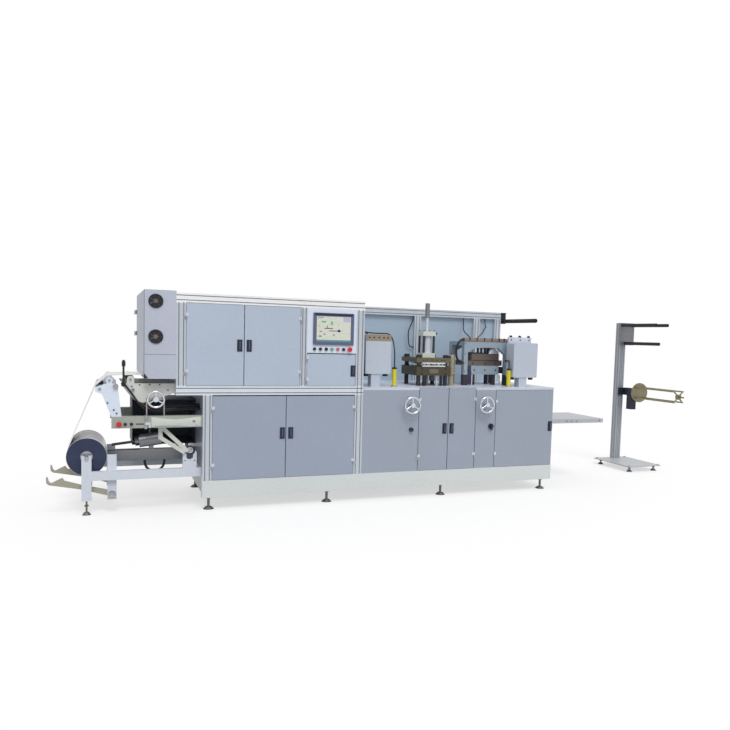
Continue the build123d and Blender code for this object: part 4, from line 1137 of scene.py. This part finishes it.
# Light: the camera sees plain white, the finishes reflect a graded sky
lightSettings = {
    "world": 0.72,
    "shine": 0.95,
    "sky": [(0.0, (0.55, 0.56, 0.58, 1)), (0.35, (0.9, 0.9, 0.91, 1)), (0.6, (1, 1, 1, 1)),
            (1.0, (0.7, 0.72, 0.75, 1))],
    "sun": 1.25,
    "sunSize": 24,
    "sunTurn": (38, -8, 10),
}
floorSettings = {
    "half": 20,
    "drop": 0.0005,
    "seen": (1.0, 1.0, 1.0, 1.0),
    "bounce": srgb(176, 178, 182),
    "glow": 0.6,
    "rough": 0.9,
    "specular": 0.1,
}


def background(tree, colour, strength):
    node = tree.nodes.new("ShaderNodeBackground")
    node.inputs["Strength"].default_value = strength
    if isinstance(colour, tuple):
        node.inputs["Color"].default_value = colour
    else:
        tree.links.new(colour, node.inputs["Color"])
    return node.outputs[0]


def mixShaders(tree, factor, a, b):
    node = tree.nodes.new("ShaderNodeMixShader")
    for value, socket in zip((factor, a, b), node.inputs):
        tree.links.new(value, socket)
    return node.outputs[0]


def makeWorld(s):
    world = bpy.data.worlds.new("studio")
    bpy.context.scene.world = world
    world.use_nodes = True
    tree = world.node_tree
    tree.nodes.clear()
    out = tree.nodes.new("ShaderNodeOutputWorld")
    path = tree.nodes.new("ShaderNodeLightPath")
    seen = maths(tree, "MAXIMUM", path.outputs["Is Camera Ray"], path.outputs["Is Transmission Ray"])
    coords = tree.nodes.new("ShaderNodeTexCoord")
    split = tree.nodes.new("ShaderNodeSeparateXYZ")
    tree.links.new(coords.outputs["Generated"], split.inputs[0])
    sky = ramp(tree, levels(tree, split.outputs["Z"], 0.0, 1.0), s["sky"])
    plain = background(tree, plainWhite, s["world"])
    lit = mixShaders(tree, path.outputs["Is Glossy Ray"], plain, background(tree, sky, s["shine"]))
    tree.links.new(mixShaders(tree, seen, lit, background(tree, plainWhite, 1.0)), out.inputs[0])


def makeSun(s):
    data = bpy.data.lights.new("key_sun", "SUN")
    data.energy = s["sun"]
    data.angle = radians(s["sunSize"])
    lamp = bpy.data.objects.new("key_sun", data)
    lamp.rotation_euler = tuple(radians(v) for v in s["sunTurn"])
    bpy.context.scene.collection.objects.link(lamp)


def makeFloor(s):
    mesh = bpy.data.meshes.new("floor")
    bm = bmesh.new()
    bmesh.ops.create_grid(bm, x_segments=1, y_segments=1, size=s["half"])
    bm.to_mesh(mesh)
    bm.free()
    floor = bpy.data.objects.new("floor", mesh)
    bpy.context.scene.collection.objects.link(floor)
    mat, tree, shader = newMaterial("floor_white")
    path = tree.nodes.new("ShaderNodeLightPath")
    mirrored = maths(tree, "MAXIMUM", path.outputs["Is Glossy Ray"], path.outputs["Is Transmission Ray"])
    seen = maths(tree, "MAXIMUM", path.outputs["Is Camera Ray"], mirrored)
    tree.links.new(mixColour(tree, seen, s["bounce"], s["seen"]), shader.inputs["Base Color"])
    shader.inputs["Roughness"].default_value = s["rough"]
    shader.inputs["Specular IOR Level"].default_value = s["specular"]
    glow = tree.nodes.new("ShaderNodeEmission")
    blend = mixShaders(tree, maths(tree, "MULTIPLY", seen, s["glow"]), shader.outputs[0], glow.outputs[0])
    tree.links.new(blend, tree.nodes["Material Output"].inputs[0])
    mesh.materials.append(mat)
    floor.location.z = -s["drop"]


makeWorld(lightSettings)
makeSun(lightSettings)
makeFloor(floorSettings)
bpy.context.scene.view_settings.view_transform = "Standard"
print("stage: light and floor")
